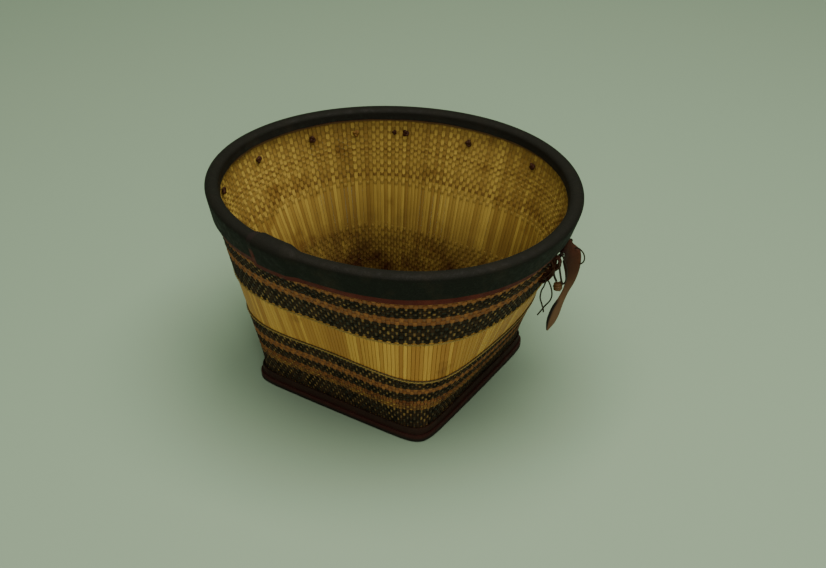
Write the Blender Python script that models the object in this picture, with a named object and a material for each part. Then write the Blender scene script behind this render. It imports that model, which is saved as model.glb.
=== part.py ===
"""A flared splint basket on a square foot, with an oval mouth and leather bindings.

All sizes are metres, with +Z up and the origin in the middle of the resting face.
Every layer of the wall is placed by wall_point, so it follows when a size changes.
"""

import math

import bmesh
import bpy
from mathutils import Vector

# Plan of the wall at the outer face of its weaving
FOOT_HALF_WIDTH = 0.0782
MOUTH_HALF_WIDTH = 0.1303
FOOT_ROUNDNESS = 0.088
MOUTH_ROUNDNESS = 0.5
ROUNDING_PACE = 0.687
OVAL_SWELL = 0.0090
OVAL_DIRECTION = math.radians(8.7)
MOUTH_SHIFT_X = 0.0085
MOUTH_SHIFT_Y = -0.0088

# Saddle of the rim, and dip of the rows above the front corner
SADDLE_RISE = 0.0018
SADDLE_DIRECTION = math.radians(60.8)
DIP_DEPTH = 0.006
DIP_DIRECTION = math.radians(-42.0)
DIP_SPREAD = math.radians(17.0)
DIP_HEIGHT = 0.070
DIP_REACH = 0.015

# Heights of the bands, from the foot up
FOOT_HEIGHT = 0.012
LOWER_BLACK = 0.018
LOWER_TAN = 0.005
LOWER_RED_BROWN = 0.0055
MIDDLE_BLACK = 0.009
LOWER_BROWN = 0.007
WAIST_BLACK = 0.011
WAIST_TWINE = 0.003
BARE_ZONE = 0.032
SHOULDER_TWINE = 0.0015
UPPER_BLACK = 0.019
UPPER_BROWN = 0.007
NECK_BLACK = 0.010
NECK_BROWN = 0.0055
RIM_BED = 0.02385

# Thicknesses of the layers, and the clearance between any two of them
GAP = 0.0003
WEFT_THICKNESS = 0.0008
SPLINT_THICKNESS = 0.0016
HOOP_WIDTH = 0.0024
HOOP_HEIGHT = 0.0070
UNDERLAY_THICKNESS = 0.0008
BINDING_THICKNESS = 0.0012

# Leather over the rim
RIM_RED_SHOWING = 0.0060
RIM_INNER_DEPTH = 0.0044
RIM_INNER_RED_SHOWING = 0.0010
RIM_CROWN = 0.0012
LAP_DIRECTION = math.radians(-105.3)
LAP_LENGTH = 0.025
LAP_RAMP = 0.013
LAP_RED_SHOWING = 0.0065
LAP_TAIL_CLEARANCE = 0.002

# Leather round the foot, and the mats of the base
FOOT_BINDING_HEIGHT = 0.0062
FOOT_BINDING_FOLD = 0.0176
FOOT_UNDERLAY_FOLD = 0.0141
MAT_RAMP = 0.004

# Knots of the thong ties inside the rim
TIE_DIRECTIONS = (22, 60, 91, 118.5, 138, 155, 179, 204, 229, 254, 279, 304, 329, 354)
TIE_BELOW_RIM = 0.0188
TIE_BASE_RADIUS = 0.0022
TIE_TOP_RADIUS = 0.0014
TIE_HEIGHT = 0.0026
TIE_SIDES = 8

# Strap and lashing that hang from a thong under the rim
HANGER_DIRECTION = math.radians(12.6)
HANGER_BELOW_BINDING = 0.0032
HANGER_LEFT_REACH = 0.0150
HANGER_RIGHT_REACH = 0.0115
HANGER_BEND = 0.0015
THONG_DIAMETER = 0.0012
STRAP_THICKNESS = 0.0016
STRAP_EDGE = 0.0006
STRAP_TOP_HALF_WIDTH = 0.0090
STRAP_HOOK_START = math.radians(230.0)
STRAP_HOOK_STEPS = 7
LASHING_OFFSET = 0.0122
KNOT_HALF_WIDTH = 0.0032
KNOT_HALF_HEIGHT = 0.0037
KNOT_SEGMENTS = 10
KNOT_RINGS = 7
TAIL_DIAMETER = 0.0011

# Points of the strap below its hook: out, up, half width, and turn in degrees
STRAP_STATIONS = (
    (0.0044, -0.0058, 0.0084, 34),
    (0.0054, -0.0116, 0.0075, 41),
    (0.0056, -0.0202, 0.0056, 47),
    (0.0045, -0.0284, 0.0038, 53),
    (0.0018, -0.0369, 0.0026, 57),
    (-0.0012, -0.0453, 0.0028, 59),
    (-0.0040, -0.0528, 0.0037, 61),
    (-0.0060, -0.0597, 0.0040, 63),
    (-0.0083, -0.0676, 0.0033, 65),
    (-0.0107, -0.0756, 0.0008, 67),
)

# Thongs beside the strap, as distances out and up from the hanger's axis
SIDE_LOOP_ROUTE = ((0.0057, -0.0014), (0.0080, -0.0009), (0.0104, -0.0025), (0.0123, -0.0049),
                   (0.0131, -0.0081), (0.0127, -0.0110), (0.0113, -0.0131))
SIDE_LOOP_OFFSET = 0.0040
LASHING_LOOP_ROUTE = ((-0.0009, -0.0060), (-0.0001, -0.0127), (0.0011, -0.0191), (0.0022, -0.0228),
                      (0.0036, -0.0226), (0.0049, -0.0189), (0.0050, -0.0111), (0.0034, -0.0048))
SMALL_LOOP_ROUTE = ((-0.0021, -0.0075), (-0.0036, -0.0110), (-0.0044, -0.0157), (-0.0036, -0.0192),
                    (-0.0022, -0.0222))
KNOT_PLACE = (-0.0010, -0.0263)

# Routes of the two free thong tails, in metres from the origin
TAIL_LEFT_ROUTE = ((0.1300, 0.0023, 0.1260), (0.1316, 0.0023, 0.1258), (0.1329, 0.0023, 0.1238),
                   (0.1327, 0.0023, 0.1208), (0.1315, 0.0023, 0.1168), (0.1299, 0.0023, 0.1128),
                   (0.1292, 0.0023, 0.1064), (0.1307, 0.0023, 0.1017), (0.1321, 0.0023, 0.0976),
                   (0.1324, 0.0023, 0.0950))
TAIL_RIGHT_ROUTE = ((0.1288, 0.0051, 0.1231), (0.1309, 0.0051, 0.1230), (0.1333, 0.0051, 0.1215),
                    (0.1352, 0.0051, 0.1185), (0.1367, 0.0051, 0.1140), (0.1371, 0.0051, 0.1093),
                    (0.1356, 0.0051, 0.1043), (0.1319, 0.0051, 0.0985), (0.1285, 0.0051, 0.0924),
                    (0.1262, 0.0051, 0.0885))
TAIL_POINTS = 15

# Counts of the mesh
SEGMENTS = 40
CORNER_CROWDING = 0.125
TALLEST_STEP = 0.024
CROWN_STEPS = 4
ROUND_STEPS = 14
SEARCH_STEPS = 8
TANGENT_STEP = math.radians(3)
SHARP_ANGLE = math.radians(35)
THONG_RESOLUTION = 1
TAIL_RESOLUTION = 2

# Finishes, as linear red, green and blue, and roughness
BLACK_WEFT = (0.012, 0.012, 0.008, 0.7)
BROWN_WEFT = (0.160, 0.062, 0.014, 0.7)
RED_WEFT = (0.120, 0.038, 0.012, 0.7)
TAN_WEFT = (0.180, 0.100, 0.030, 0.7)
GOLD_SPLINT = (0.360, 0.230, 0.050, 0.6)
PALE_TWINE = (0.420, 0.300, 0.085, 0.8)
HOOP_WOOD = (0.200, 0.120, 0.040, 0.7)
BLACK_LEATHER = (0.010, 0.013, 0.009, 0.45)
RED_LEATHER = (0.070, 0.012, 0.007, 0.5)
STRAP_LEATHER = (0.090, 0.030, 0.013, 0.6)
DARK_THONG = (0.016, 0.012, 0.007, 0.6)

# Places that follow from the sizes above
FOLD_TOP = BINDING_THICKNESS + GAP + UNDERLAY_THICKNESS + GAP
SPLINT_OUTER = -WEFT_THICKNESS - GAP
SPLINT_INNER = SPLINT_OUTER - SPLINT_THICKNESS
HOOP_OUTER = SPLINT_INNER - GAP
HOOP_INNER = HOOP_OUTER - HOOP_WIDTH
UNDERLAY_OUTER = GAP + UNDERLAY_THICKNESS
BINDING_INNER = UNDERLAY_OUTER + GAP
BINDING_OUTER = BINDING_INNER + BINDING_THICKNESS
RIM_MIDDLE = HOOP_INNER / 2
LAP_LIFT = UNDERLAY_THICKNESS + BINDING_THICKNESS + 2 * GAP
UNDERLAY_HEAD = LAP_DIRECTION - LAP_RED_SHOWING / MOUTH_HALF_WIDTH
LAP_LEVEL_END = LAP_DIRECTION + LAP_LENGTH / MOUTH_HALF_WIDTH
LAP_RAMP_END = LAP_LEVEL_END + LAP_RAMP / MOUTH_HALF_WIDTH
LAP_TAIL = LAP_LEVEL_END - LAP_TAIL_CLEARANCE / MOUTH_HALF_WIDTH
HANGER_STANDOFF = THONG_DIAMETER / 2 + STRAP_THICKNESS + 3 * GAP

BANDS = (
    ("foot_weft", FOOT_HEIGHT - FOLD_TOP, BLACK_WEFT),
    ("lower_black_weft", LOWER_BLACK, BLACK_WEFT),
    ("lower_tan_weft", LOWER_TAN, TAN_WEFT),
    ("lower_red_brown_weft", LOWER_RED_BROWN, RED_WEFT),
    ("middle_black_weft", MIDDLE_BLACK, BLACK_WEFT),
    ("lower_brown_weft", LOWER_BROWN, BROWN_WEFT),
    ("waist_black_weft", WAIST_BLACK, BLACK_WEFT),
    ("waist_twine", WAIST_TWINE, PALE_TWINE),
    (None, BARE_ZONE, None),
    ("shoulder_twine", SHOULDER_TWINE, PALE_TWINE),
    ("upper_black_weft", UPPER_BLACK, BLACK_WEFT),
    ("upper_brown_weft", UPPER_BROWN, BROWN_WEFT),
    ("neck_black_weft", NECK_BLACK, BLACK_WEFT),
    ("neck_brown_weft", NECK_BROWN, BROWN_WEFT),
    ("rim_bed_weft", RIM_BED, BROWN_WEFT),
)
WALL_TOP = FOLD_TOP + sum(height for name, height, finish in BANDS)
UNDERLAY_LOW = WALL_TOP - RIM_BED
BINDING_LOW = UNDERLAY_LOW + RIM_RED_SHOWING


def band_levels(low, height):
    """Heights from low up through one band, in equal steps no taller than TALLEST_STEP."""
    steps = math.ceil(height / TALLEST_STEP)
    return [low + height * step / steps for step in range(steps + 1)]


def wall_levels():
    """Every height at which the wall's faces bend."""
    levels = [0.0, FOLD_TOP]
    for name, height, finish in BANDS:
        levels.extend(band_levels(levels[-1], height)[1:])
    return levels


def wall_angles():
    """Directions of the wall's upright edges, crowded at the corners and set at the rim's lap."""
    turns = [math.tau * count / SEGMENTS for count in range(SEGMENTS)]
    crowded = [turn + CORNER_CROWDING * math.sin(4 * turn) for turn in turns]
    lap = (UNDERLAY_HEAD, LAP_DIRECTION, LAP_TAIL, LAP_LEVEL_END, LAP_RAMP_END)
    return sorted(crowded + [turn % math.tau for turn in lap]) + [math.tau]


LEVELS = wall_levels()
ANGLES = wall_angles()


def smooth_point(angle, height, offset):
    """A point of the smooth wall: a square foot that rounds into an oval, moved out by offset."""
    rise = min(max((height - FOOT_HEIGHT) / (WALL_TOP - FOOT_HEIGHT), 0.0), 1.0)
    half_width = FOOT_HALF_WIDTH + (MOUTH_HALF_WIDTH - FOOT_HALF_WIDTH) * rise
    roundness = FOOT_ROUNDNESS + (MOUTH_ROUNDNESS - FOOT_ROUNDNESS) * rise ** ROUNDING_PACE
    longer = max(abs(math.cos(angle)), abs(math.sin(angle)))
    shorter = min(abs(math.cos(angle)), abs(math.sin(angle)))
    reach = half_width / (longer * (1 + (shorter / longer) ** (1 / roundness)) ** roundness)
    oval = OVAL_SWELL * math.cos(2 * (angle - OVAL_DIRECTION)) * math.sin(math.pi / 2 * rise)
    radius = reach + oval + offset
    from_dip = math.remainder(angle - DIP_DIRECTION, math.tau) / DIP_SPREAD
    dip = DIP_DEPTH * math.exp(-from_dip ** 2 - ((height - DIP_HEIGHT) / DIP_REACH) ** 2)
    saddle = SADDLE_RISE * math.cos(2 * (angle - SADDLE_DIRECTION)) * rise
    return Vector((
        MOUTH_SHIFT_X * rise + radius * math.cos(angle),
        MOUTH_SHIFT_Y * rise + radius * math.sin(angle),
        height - dip + saddle,
    ))


def wall_point(angle, height, offset):
    """A point of the faceted wall, whose faces are split from low at the left to high at the right."""
    turn = angle % math.tau
    edge = next(count for count, direction in enumerate(ANGLES) if direction > turn)
    left, right = ANGLES[edge - 1], ANGLES[edge]
    across = (turn - left) / (right - left)
    level = next((count for count, top in enumerate(LEVELS) if top > height), len(LEVELS) - 1)
    low, high = LEVELS[level - 1], LEVELS[level]
    up = min((height - low) / (high - low), 1.0)
    low_left, high_right = smooth_point(left, low, offset), smooth_point(right, high, offset)
    if across < up:
        high_left = smooth_point(left, high, offset)
        place = low_left + (high_left - low_left) * up + (high_right - high_left) * across
    else:
        low_right = smooth_point(right, low, offset)
        place = low_left + (low_right - low_left) * across + (high_right - low_right) * up
    return place + Vector((0, 0, max(height - high, 0.0)))


def material(name, finish):
    """A plain finish of one colour and roughness."""
    surface = bpy.data.materials.new(name)
    surface.use_nodes = True
    shader = surface.node_tree.nodes["Principled BSDF"]
    *colour, roughness = finish
    shader.inputs["Base Color"].default_value = (*colour, 1.0)
    shader.inputs["Roughness"].default_value = roughness
    shader.inputs["Metallic"].default_value = 0.0
    return surface


def add_object(name, data, finish):
    """Puts a mesh or curve into the basket's collection with its own material."""
    thing = bpy.data.objects.new(name, data)
    data.materials.append(material(name, finish))
    basket.objects.link(thing)
    return thing


def add_mesh(name, mesh_data, finish):
    """Turns a bmesh into an object with its faces pointing out."""
    bmesh.ops.recalc_face_normals(mesh_data, faces=mesh_data.faces)
    mesh = bpy.data.meshes.new(name)
    mesh_data.to_mesh(mesh)
    mesh_data.free()
    mesh.shade_smooth()
    mesh.set_sharp_from_angle(angle=SHARP_ANGLE)
    return add_object(name, mesh, finish)


def add_strip(name, sections, closed, finish):
    """A strip round the wall, from sections of an angle, an outer path and an inner path.

    A path is a list of offset and height. Both paths have the same count of points.
    The faces of all strips are split along the same diagonal, so layers never cross.
    """
    strip = bmesh.new()
    rings = []
    for angle, outer, inner in sections:
        loop = list(outer) + list(reversed(inner))
        rings.append([strip.verts.new(wall_point(angle, height, offset)) for offset, height in loop])
    pairs = list(zip(rings, rings[1:]))
    if closed:
        pairs.append((rings[-1], rings[0]))
    half = len(rings[0]) // 2
    for ring, following in pairs:
        for count in range(2 * half):
            after = (count + 1) % (2 * half)
            corners = [ring[count], ring[after], following[after], following[count]]
            if count >= half:
                corners.append(corners.pop(0))
            strip.faces.new(corners[:3])
            strip.faces.new((corners[0], corners[2], corners[3]))
    if not closed:
        for ring in (rings[0], rings[-1]):
            for count in range(half - 1):
                strip.faces.new((ring[count], ring[count + 1], ring[-2 - count], ring[-1 - count]))
    return add_mesh(name, strip, finish)


def add_ring(name, outer, inner, finish):
    """A closed strip of one section all the way round."""
    return add_strip(name, [(angle, outer, inner) for angle in ANGLES[:-1]], True, finish)


def smooth_route(points, count, closed=False):
    """Evenly spread points on a Catmull-Rom curve through the route's own points."""
    knots = [Vector(point) for point in points]
    spans = len(knots) if closed else len(knots) - 1
    fine = []
    for span in range(spans):
        if closed:
            before, start, end, after = (knots[(span + step) % len(knots)] for step in (-1, 0, 1, 2))
        else:
            before, start = knots[max(span - 1, 0)], knots[span]
            end, after = knots[span + 1], knots[min(span + 2, len(knots) - 1)]
        for step in range(ROUND_STEPS):
            share = step / ROUND_STEPS
            fine.append(0.5 * (
                2 * start + (end - before) * share
                + (2 * before - 5 * start + 4 * end - after) * share ** 2
                + (3 * start - before - 3 * end + after) * share ** 3
            ))
    fine.append(knots[0] if closed else knots[-1])
    lengths = [0.0]
    for start, end in zip(fine, fine[1:]):
        lengths.append(lengths[-1] + (end - start).length)
    spread = []
    places = count if closed else count - 1
    for place in range(count):
        wanted = lengths[-1] * place / places
        upper = next((index for index, length in enumerate(lengths) if length >= wanted and index), 1)
        upper = min(upper, len(lengths) - 1)
        share = (wanted - lengths[upper - 1]) / (lengths[upper] - lengths[upper - 1])
        spread.append(fine[upper - 1].lerp(fine[upper], min(share, 1.0)))
    return spread


def add_thong(name, points, diameter, closed=False, resolution=THONG_RESOLUTION):
    """A round thong along the given points."""
    curve = bpy.data.curves.new(name, "CURVE")
    curve.dimensions = "3D"
    curve.bevel_depth = diameter / 2
    curve.bevel_resolution = resolution
    curve.use_fill_caps = True
    spline = curve.splines.new("POLY")
    spline.points.add(len(points) - 1)
    for place, point in zip(spline.points, points):
        place.co = (*point, 1.0)
    spline.use_cyclic_u = closed
    spline.use_smooth = True
    return add_object(name, curve, DARK_THONG)


def add_mat(name, underside):
    """One crossing layer of base splints: flat in the middle, lifted over the leather folds.

    Its underside is flat at the given height until the ramp near the folds' inner edge.
    """
    fold_edge = BINDING_OUTER - FOOT_BINDING_FOLD
    flat_edge = fold_edge - MAT_RAMP
    mat_edge = SPLINT_INNER - GAP
    lifted = underside + FOLD_TOP
    path = ((flat_edge, underside), (fold_edge, lifted), (mat_edge, lifted))
    sides = len(ANGLES) - 1
    mat = bmesh.new()
    layers = []
    for thickness in (0.0, SPLINT_THICKNESS):
        rings = []
        for offset, height in path:
            ring = [smooth_point(angle, 0.0, offset) for angle in ANGLES[:-1]]
            rings.append([mat.verts.new((point.x, point.y, height + thickness)) for point in ring])
        middle = mat.verts.new((0.0, 0.0, underside + thickness))
        for count in range(sides):
            after = (count + 1) % sides
            mat.faces.new((middle, rings[0][count], rings[0][after]))
            for ring, following in zip(rings, rings[1:]):
                mat.faces.new((ring[count], ring[after], following[after], following[count]))
        layers.append(rings[-1])
    for count in range(sides):
        after = (count + 1) % sides
        mat.faces.new((layers[0][count], layers[0][after], layers[1][after], layers[1][count]))
    return add_mesh(name, mat, GOLD_SPLINT)


def build_base():
    """Leather folded under the foot, and the two crossing mats of splints on it."""
    binding_edge = BINDING_OUTER - FOOT_BINDING_FOLD
    outer = ((BINDING_OUTER, FOOT_BINDING_HEIGHT), (BINDING_OUTER, 0.0), (binding_edge, 0.0))
    inner = ((BINDING_INNER, FOOT_BINDING_HEIGHT), (BINDING_INNER, BINDING_THICKNESS),
             (binding_edge, BINDING_THICKNESS))
    add_ring("base_binding", outer, inner, BLACK_LEATHER)
    low = BINDING_THICKNESS + GAP
    high = low + UNDERLAY_THICKNESS
    underlay_edge = UNDERLAY_OUTER - FOOT_UNDERLAY_FOLD
    outer = ((UNDERLAY_OUTER, FOOT_HEIGHT), (UNDERLAY_OUTER, low), (underlay_edge, low))
    inner = ((GAP, FOOT_HEIGHT), (GAP, high), (underlay_edge, high))
    add_ring("base_underlay", outer, inner, RED_LEATHER)
    add_mat("base_splints_across", 0.0)
    add_mat("base_splints_along", SPLINT_THICKNESS + GAP)


def build_uprights():
    """Four walls of upright splints that meet at the corners with a clearance."""
    corner_gap = GAP / FOOT_HALF_WIDTH / 2
    heights = [level for level in LEVELS if level >= FOLD_TOP]
    outer = [(SPLINT_OUTER, height) for height in heights]
    inner = [(SPLINT_INNER, height) for height in heights]
    for side, name in enumerate(("right", "back", "left", "front")):
        start = math.pi / 2 * side - math.pi / 4 + corner_gap
        end = start + math.pi / 2 - 2 * corner_gap
        between = [turn + lap for lap in (-math.tau, 0.0) for turn in ANGLES[:-1]]
        angles = [start] + sorted(turn for turn in between if start < turn < end) + [end]
        sections = [(angle, outer, inner) for angle in angles]
        add_strip(f"{name}_uprights", sections, False, GOLD_SPLINT)


def build_wefts():
    """One woven ring for each band of colour."""
    low = FOLD_TOP
    for name, height, finish in BANDS:
        if name:
            heights = band_levels(low, height)
            heights[0] += GAP / 2
            heights[-1] -= GAP / 2
            outer = [(0.0, level) for level in heights]
            inner = [(-WEFT_THICKNESS, level) for level in heights]
            add_ring(name, outer, inner, finish)
        low += height


def rim_path(half_width, crown, outer_low, inner_low, lift):
    """Offsets and heights of leather folded over the rim: a leg, a half ellipse and a leg."""
    path = [(RIM_MIDDLE + half_width + lift, outer_low)]
    for step in range(CROWN_STEPS + 1):
        turn = math.pi * step / CROWN_STEPS
        across = (half_width + lift) * math.cos(turn)
        path.append((RIM_MIDDLE + across, WALL_TOP + GAP + (crown + lift) * math.sin(turn)))
    path.append((RIM_MIDDLE - half_width - lift, inner_low))
    return path


def rim_sections(half_width, crown, thickness, outer_low, inner_low, head):
    """Sections of a rim leather from its raised head, once round, to its tail under the head."""
    laps = [turn + lap for lap in (-math.tau, 0.0, math.tau) for turn in ANGLES[:-1]]
    margin = LAP_TAIL_CLEARANCE / MOUTH_HALF_WIDTH / 2
    sections = []
    for turn in sorted(laps):
        if head - margin < turn < LAP_TAIL + math.tau + margin:
            drop = min(max((turn - LAP_LEVEL_END) / (LAP_RAMP_END - LAP_LEVEL_END), 0.0), 1.0)
            lift = LAP_LIFT * (1 - drop)
            outer = rim_path(half_width + thickness, crown + thickness, outer_low, inner_low, lift)
            inner = rim_path(half_width, crown, outer_low, inner_low, lift)
            sections.append((turn, outer, inner))
    return sections


def build_rim():
    """The hoop inside the rim, and the two leathers folded over it."""
    low = WALL_TOP - HOOP_HEIGHT
    add_ring("rim_hoop", ((HOOP_OUTER, low), (HOOP_OUTER, WALL_TOP)),
             ((HOOP_INNER, low), (HOOP_INNER, WALL_TOP)), HOOP_WOOD)
    underlay_half = GAP - RIM_MIDDLE
    binding_inner_low = WALL_TOP - RIM_INNER_DEPTH
    underlay_inner_low = binding_inner_low - RIM_INNER_RED_SHOWING
    sections = rim_sections(underlay_half, RIM_CROWN, UNDERLAY_THICKNESS, UNDERLAY_LOW,
                            underlay_inner_low, UNDERLAY_HEAD)
    add_strip("rim_underlay", sections, False, RED_LEATHER)
    rise = UNDERLAY_THICKNESS + GAP
    sections = rim_sections(underlay_half + rise, RIM_CROWN + rise, BINDING_THICKNESS, BINDING_LOW,
                            binding_inner_low, LAP_DIRECTION)
    add_strip("rim_binding", sections, False, BLACK_LEATHER)


def wall_frame(angle, height, offset):
    """A place on the wall with its directions out of the wall and sideways, both level."""
    place = wall_point(angle, height, offset)
    before = wall_point(angle - TANGENT_STEP, height, offset)
    sideways = wall_point(angle + TANGENT_STEP, height, offset) - before
    sideways.z = 0.0
    sideways.normalize()
    return place, Vector((sideways.y, -sideways.x, 0.0)), sideways


def build_ties():
    """Knots of the thong ties, each seated on the inside of the uprights."""
    for count, direction in enumerate(TIE_DIRECTIONS, start=1):
        angle = math.radians(direction)
        height = WALL_TOP - TIE_BELOW_RIM
        place, _, sideways = wall_frame(angle, height, SPLINT_INNER - GAP)
        tie = bmesh.new()
        bmesh.ops.create_cone(tie, cap_ends=True, segments=TIE_SIDES, radius1=TIE_BASE_RADIUS,
                              radius2=TIE_TOP_RADIUS, depth=TIE_HEIGHT)
        thing = add_mesh(f"rim_tie_{count:02d}", tie, DARK_THONG)
        above = wall_point(angle, height + TIE_HEIGHT, SPLINT_INNER - GAP) - place
        inward = above.cross(sideways).normalized()
        thing.rotation_euler = inward.to_track_quat("Z", "Y").to_euler()
        thing.location = place + inward * (TIE_HEIGHT / 2)


def hanger_frame():
    """The hanger's axis: its middle, and its directions out of the wall and sideways."""
    height = UNDERLAY_LOW - HANGER_BELOW_BINDING
    place, outward, sideways = wall_frame(HANGER_DIRECTION, height, 0.0)
    return place + outward * HANGER_STANDOFF, outward, sideways


def wall_depth(axis, outward, sideways, reach):
    """How far the wall lies behind the hanger's axis at a sideways reach."""
    height = UNDERLAY_LOW - HANGER_BELOW_BINDING
    angle = HANGER_DIRECTION
    for step in range(SEARCH_STEPS):
        place = wall_point(angle, height, 0.0)
        angle += (reach - (place - axis).dot(sideways)) / MOUTH_HALF_WIDTH
    return (axis - place).dot(outward)


def build_hanger():
    """The thong under the rim that carries the strap and the lashing."""
    axis, outward, sideways = hanger_frame()
    cut = HANGER_BEND * (1 - math.cos(math.pi / 4))
    route = []
    for side, reach in ((-1, HANGER_LEFT_REACH), (1, HANGER_RIGHT_REACH)):
        corner = axis + sideways * side * reach
        wall_side = corner - outward * (wall_depth(axis, outward, sideways, side * reach) - 2 * GAP)
        corner_points = [
            wall_side,
            corner - outward * HANGER_BEND,
            corner - outward * cut - sideways * side * cut,
            corner - sideways * side * HANGER_BEND,
        ]
        route.extend(corner_points if side < 0 else reversed(corner_points))
    add_thong("strap_hanger", route, THONG_DIAMETER)


def strap_sections():
    """Centres, half widths and turns of the strap, from behind the hanger to its tip."""
    hook = THONG_DIAMETER / 2 + GAP + STRAP_THICKNESS / 2
    sections = []
    for step in range(STRAP_HOOK_STEPS + 1):
        turn = STRAP_HOOK_START * (1 - step / STRAP_HOOK_STEPS)
        place = (hook * math.cos(turn), hook * math.sin(turn))
        sections.append((*place, STRAP_TOP_HALF_WIDTH, 0.0))
    sections.extend(STRAP_STATIONS)
    return sections


def build_strap():
    """The leather strap: hooked over the hanger, then hanging with a slow twist."""
    axis, outward, sideways = hanger_frame()
    sections = strap_sections()
    centres = [axis + outward * out + Vector((0, 0, up)) for out, up, width, turn in sections]
    strap = bmesh.new()
    rings = []
    for count, (out, up, half_width, turn) in enumerate(sections):
        before, after = centres[max(count - 1, 0)], centres[min(count + 1, len(centres) - 1)]
        along = (after - before).normalized()
        twist = math.radians(turn)
        across = sideways * math.cos(twist) + outward * math.sin(twist)
        face = along.cross(across).normalized()
        across = face.cross(along).normalized()
        edge = min(STRAP_EDGE, half_width / 2)
        half = STRAP_THICKNESS / 2
        shape = ((half_width, 0), (half_width - edge, half), (edge - half_width, half),
                 (-half_width, 0), (edge - half_width, -half), (half_width - edge, -half))
        rings.append([strap.verts.new(centres[count] + across * side + face * depth)
                      for side, depth in shape])
    for ring, following in zip(rings, rings[1:]):
        for count in range(len(ring)):
            after = (count + 1) % len(ring)
            strap.faces.new((ring[count], ring[after], following[after], following[count]))
    strap.faces.new(rings[0])
    strap.faces.new(rings[-1])
    add_mesh("strap_tongue", strap, STRAP_LEATHER)


def beside_hanger(route, offset):
    """Points of a route given as out and up, in an upright plane beside the strap's middle."""
    axis, outward, sideways = hanger_frame()
    return [axis + outward * out + sideways * offset + Vector((0, 0, up)) for out, up in route]


def build_side_loop():
    """The small thong loop that stands out from the face of the strap."""
    points = smooth_route(beside_hanger(SIDE_LOOP_ROUTE, SIDE_LOOP_OFFSET), ROUND_STEPS)
    add_thong("strap_side_loop", points, THONG_DIAMETER)


def build_lashing():
    """A thong loop round the hanger, a smaller loop on it and the knot that ends both."""
    reach = THONG_DIAMETER + GAP
    turns = [math.pi * step / CROWN_STEPS for step in range(CROWN_STEPS + 1)]
    over_hanger = tuple((reach * math.cos(turn), reach * math.sin(turn)) for turn in turns)
    route = beside_hanger(over_hanger + LASHING_LOOP_ROUTE, -LASHING_OFFSET)
    add_thong("lashing_loop", smooth_route(route, 2 * ROUND_STEPS, True), THONG_DIAMETER, True)
    route = beside_hanger(SMALL_LOOP_ROUTE, -LASHING_OFFSET)
    add_thong("lashing_small_loop", smooth_route(route, ROUND_STEPS), THONG_DIAMETER)
    knot = bmesh.new()
    bmesh.ops.create_uvsphere(knot, u_segments=KNOT_SEGMENTS, v_segments=KNOT_RINGS, radius=1.0)
    bmesh.ops.scale(knot, verts=knot.verts, vec=(KNOT_HALF_WIDTH, KNOT_HALF_WIDTH, KNOT_HALF_HEIGHT))
    thing = add_mesh("lashing_knot", knot, STRAP_LEATHER)
    thing.location = beside_hanger((KNOT_PLACE,), -LASHING_OFFSET)[0]


def build_tails():
    """The two free ends of thong that hang from the wall."""
    for name, route in (("thong_tail_left", TAIL_LEFT_ROUTE), ("thong_tail_right", TAIL_RIGHT_ROUTE)):
        add_thong(name, smooth_route(route, TAIL_POINTS), TAIL_DIAMETER, resolution=TAIL_RESOLUTION)


for thing in list(bpy.data.objects):
    bpy.data.objects.remove(thing, do_unlink=True)
basket = bpy.data.collections.new("splint_basket")
bpy.context.scene.collection.children.link(basket)

build_base()
build_uprights()
build_wefts()
build_rim()
build_ties()
build_hanger()
build_strap()
build_side_loop()
build_lashing()
build_tails()

hanger_axis, hanger_outward, hanger_sideways = hanger_frame()
print(f"Wall top {WALL_TOP:.5f} m, {len(basket.objects)} pieces")
print("Hanger axis at", [round(value, 5) for value in hanger_axis])
print("Hanger axis along", [round(value, 5) for value in hanger_sideways])
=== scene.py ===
# %% [markdown]
# A splint basket. Splints are thin strips split from a log of ash or oak. They cross under
# the foot, turn up at its four sides and become the uprights of the wall. Thinner strips,
# the wefts, go round and round, over one upright and under the next. Leather binds the
# foot and the rim, and a strap hangs at one side.
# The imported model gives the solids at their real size, and each visible piece here is
# modelled around them in metres, in the same frame.

import math
from functools import partial

import bpy
import numpy as np
from mathutils import Matrix


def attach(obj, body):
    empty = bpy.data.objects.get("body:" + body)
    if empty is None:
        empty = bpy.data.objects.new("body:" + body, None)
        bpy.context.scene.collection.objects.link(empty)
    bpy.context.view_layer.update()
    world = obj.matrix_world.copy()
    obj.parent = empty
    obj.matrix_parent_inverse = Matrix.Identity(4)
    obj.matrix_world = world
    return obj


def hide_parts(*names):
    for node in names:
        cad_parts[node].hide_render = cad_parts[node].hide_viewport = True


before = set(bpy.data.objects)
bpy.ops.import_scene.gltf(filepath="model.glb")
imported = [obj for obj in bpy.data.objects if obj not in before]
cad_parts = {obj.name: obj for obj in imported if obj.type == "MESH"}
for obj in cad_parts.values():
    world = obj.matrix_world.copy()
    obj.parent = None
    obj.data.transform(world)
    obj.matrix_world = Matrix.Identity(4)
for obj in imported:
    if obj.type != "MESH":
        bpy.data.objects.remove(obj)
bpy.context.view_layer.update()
MM = 0.001


# %% [markdown]
# The camera stands in front of the basket and looks down on it, so that the inside of the
# far wall and the outside of two near walls show at once. Its place is given as a
# direction and a distance from a point near the basket's axis, which keeps it easy to turn.
# A long lens keeps the upright lines nearly parallel.

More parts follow.
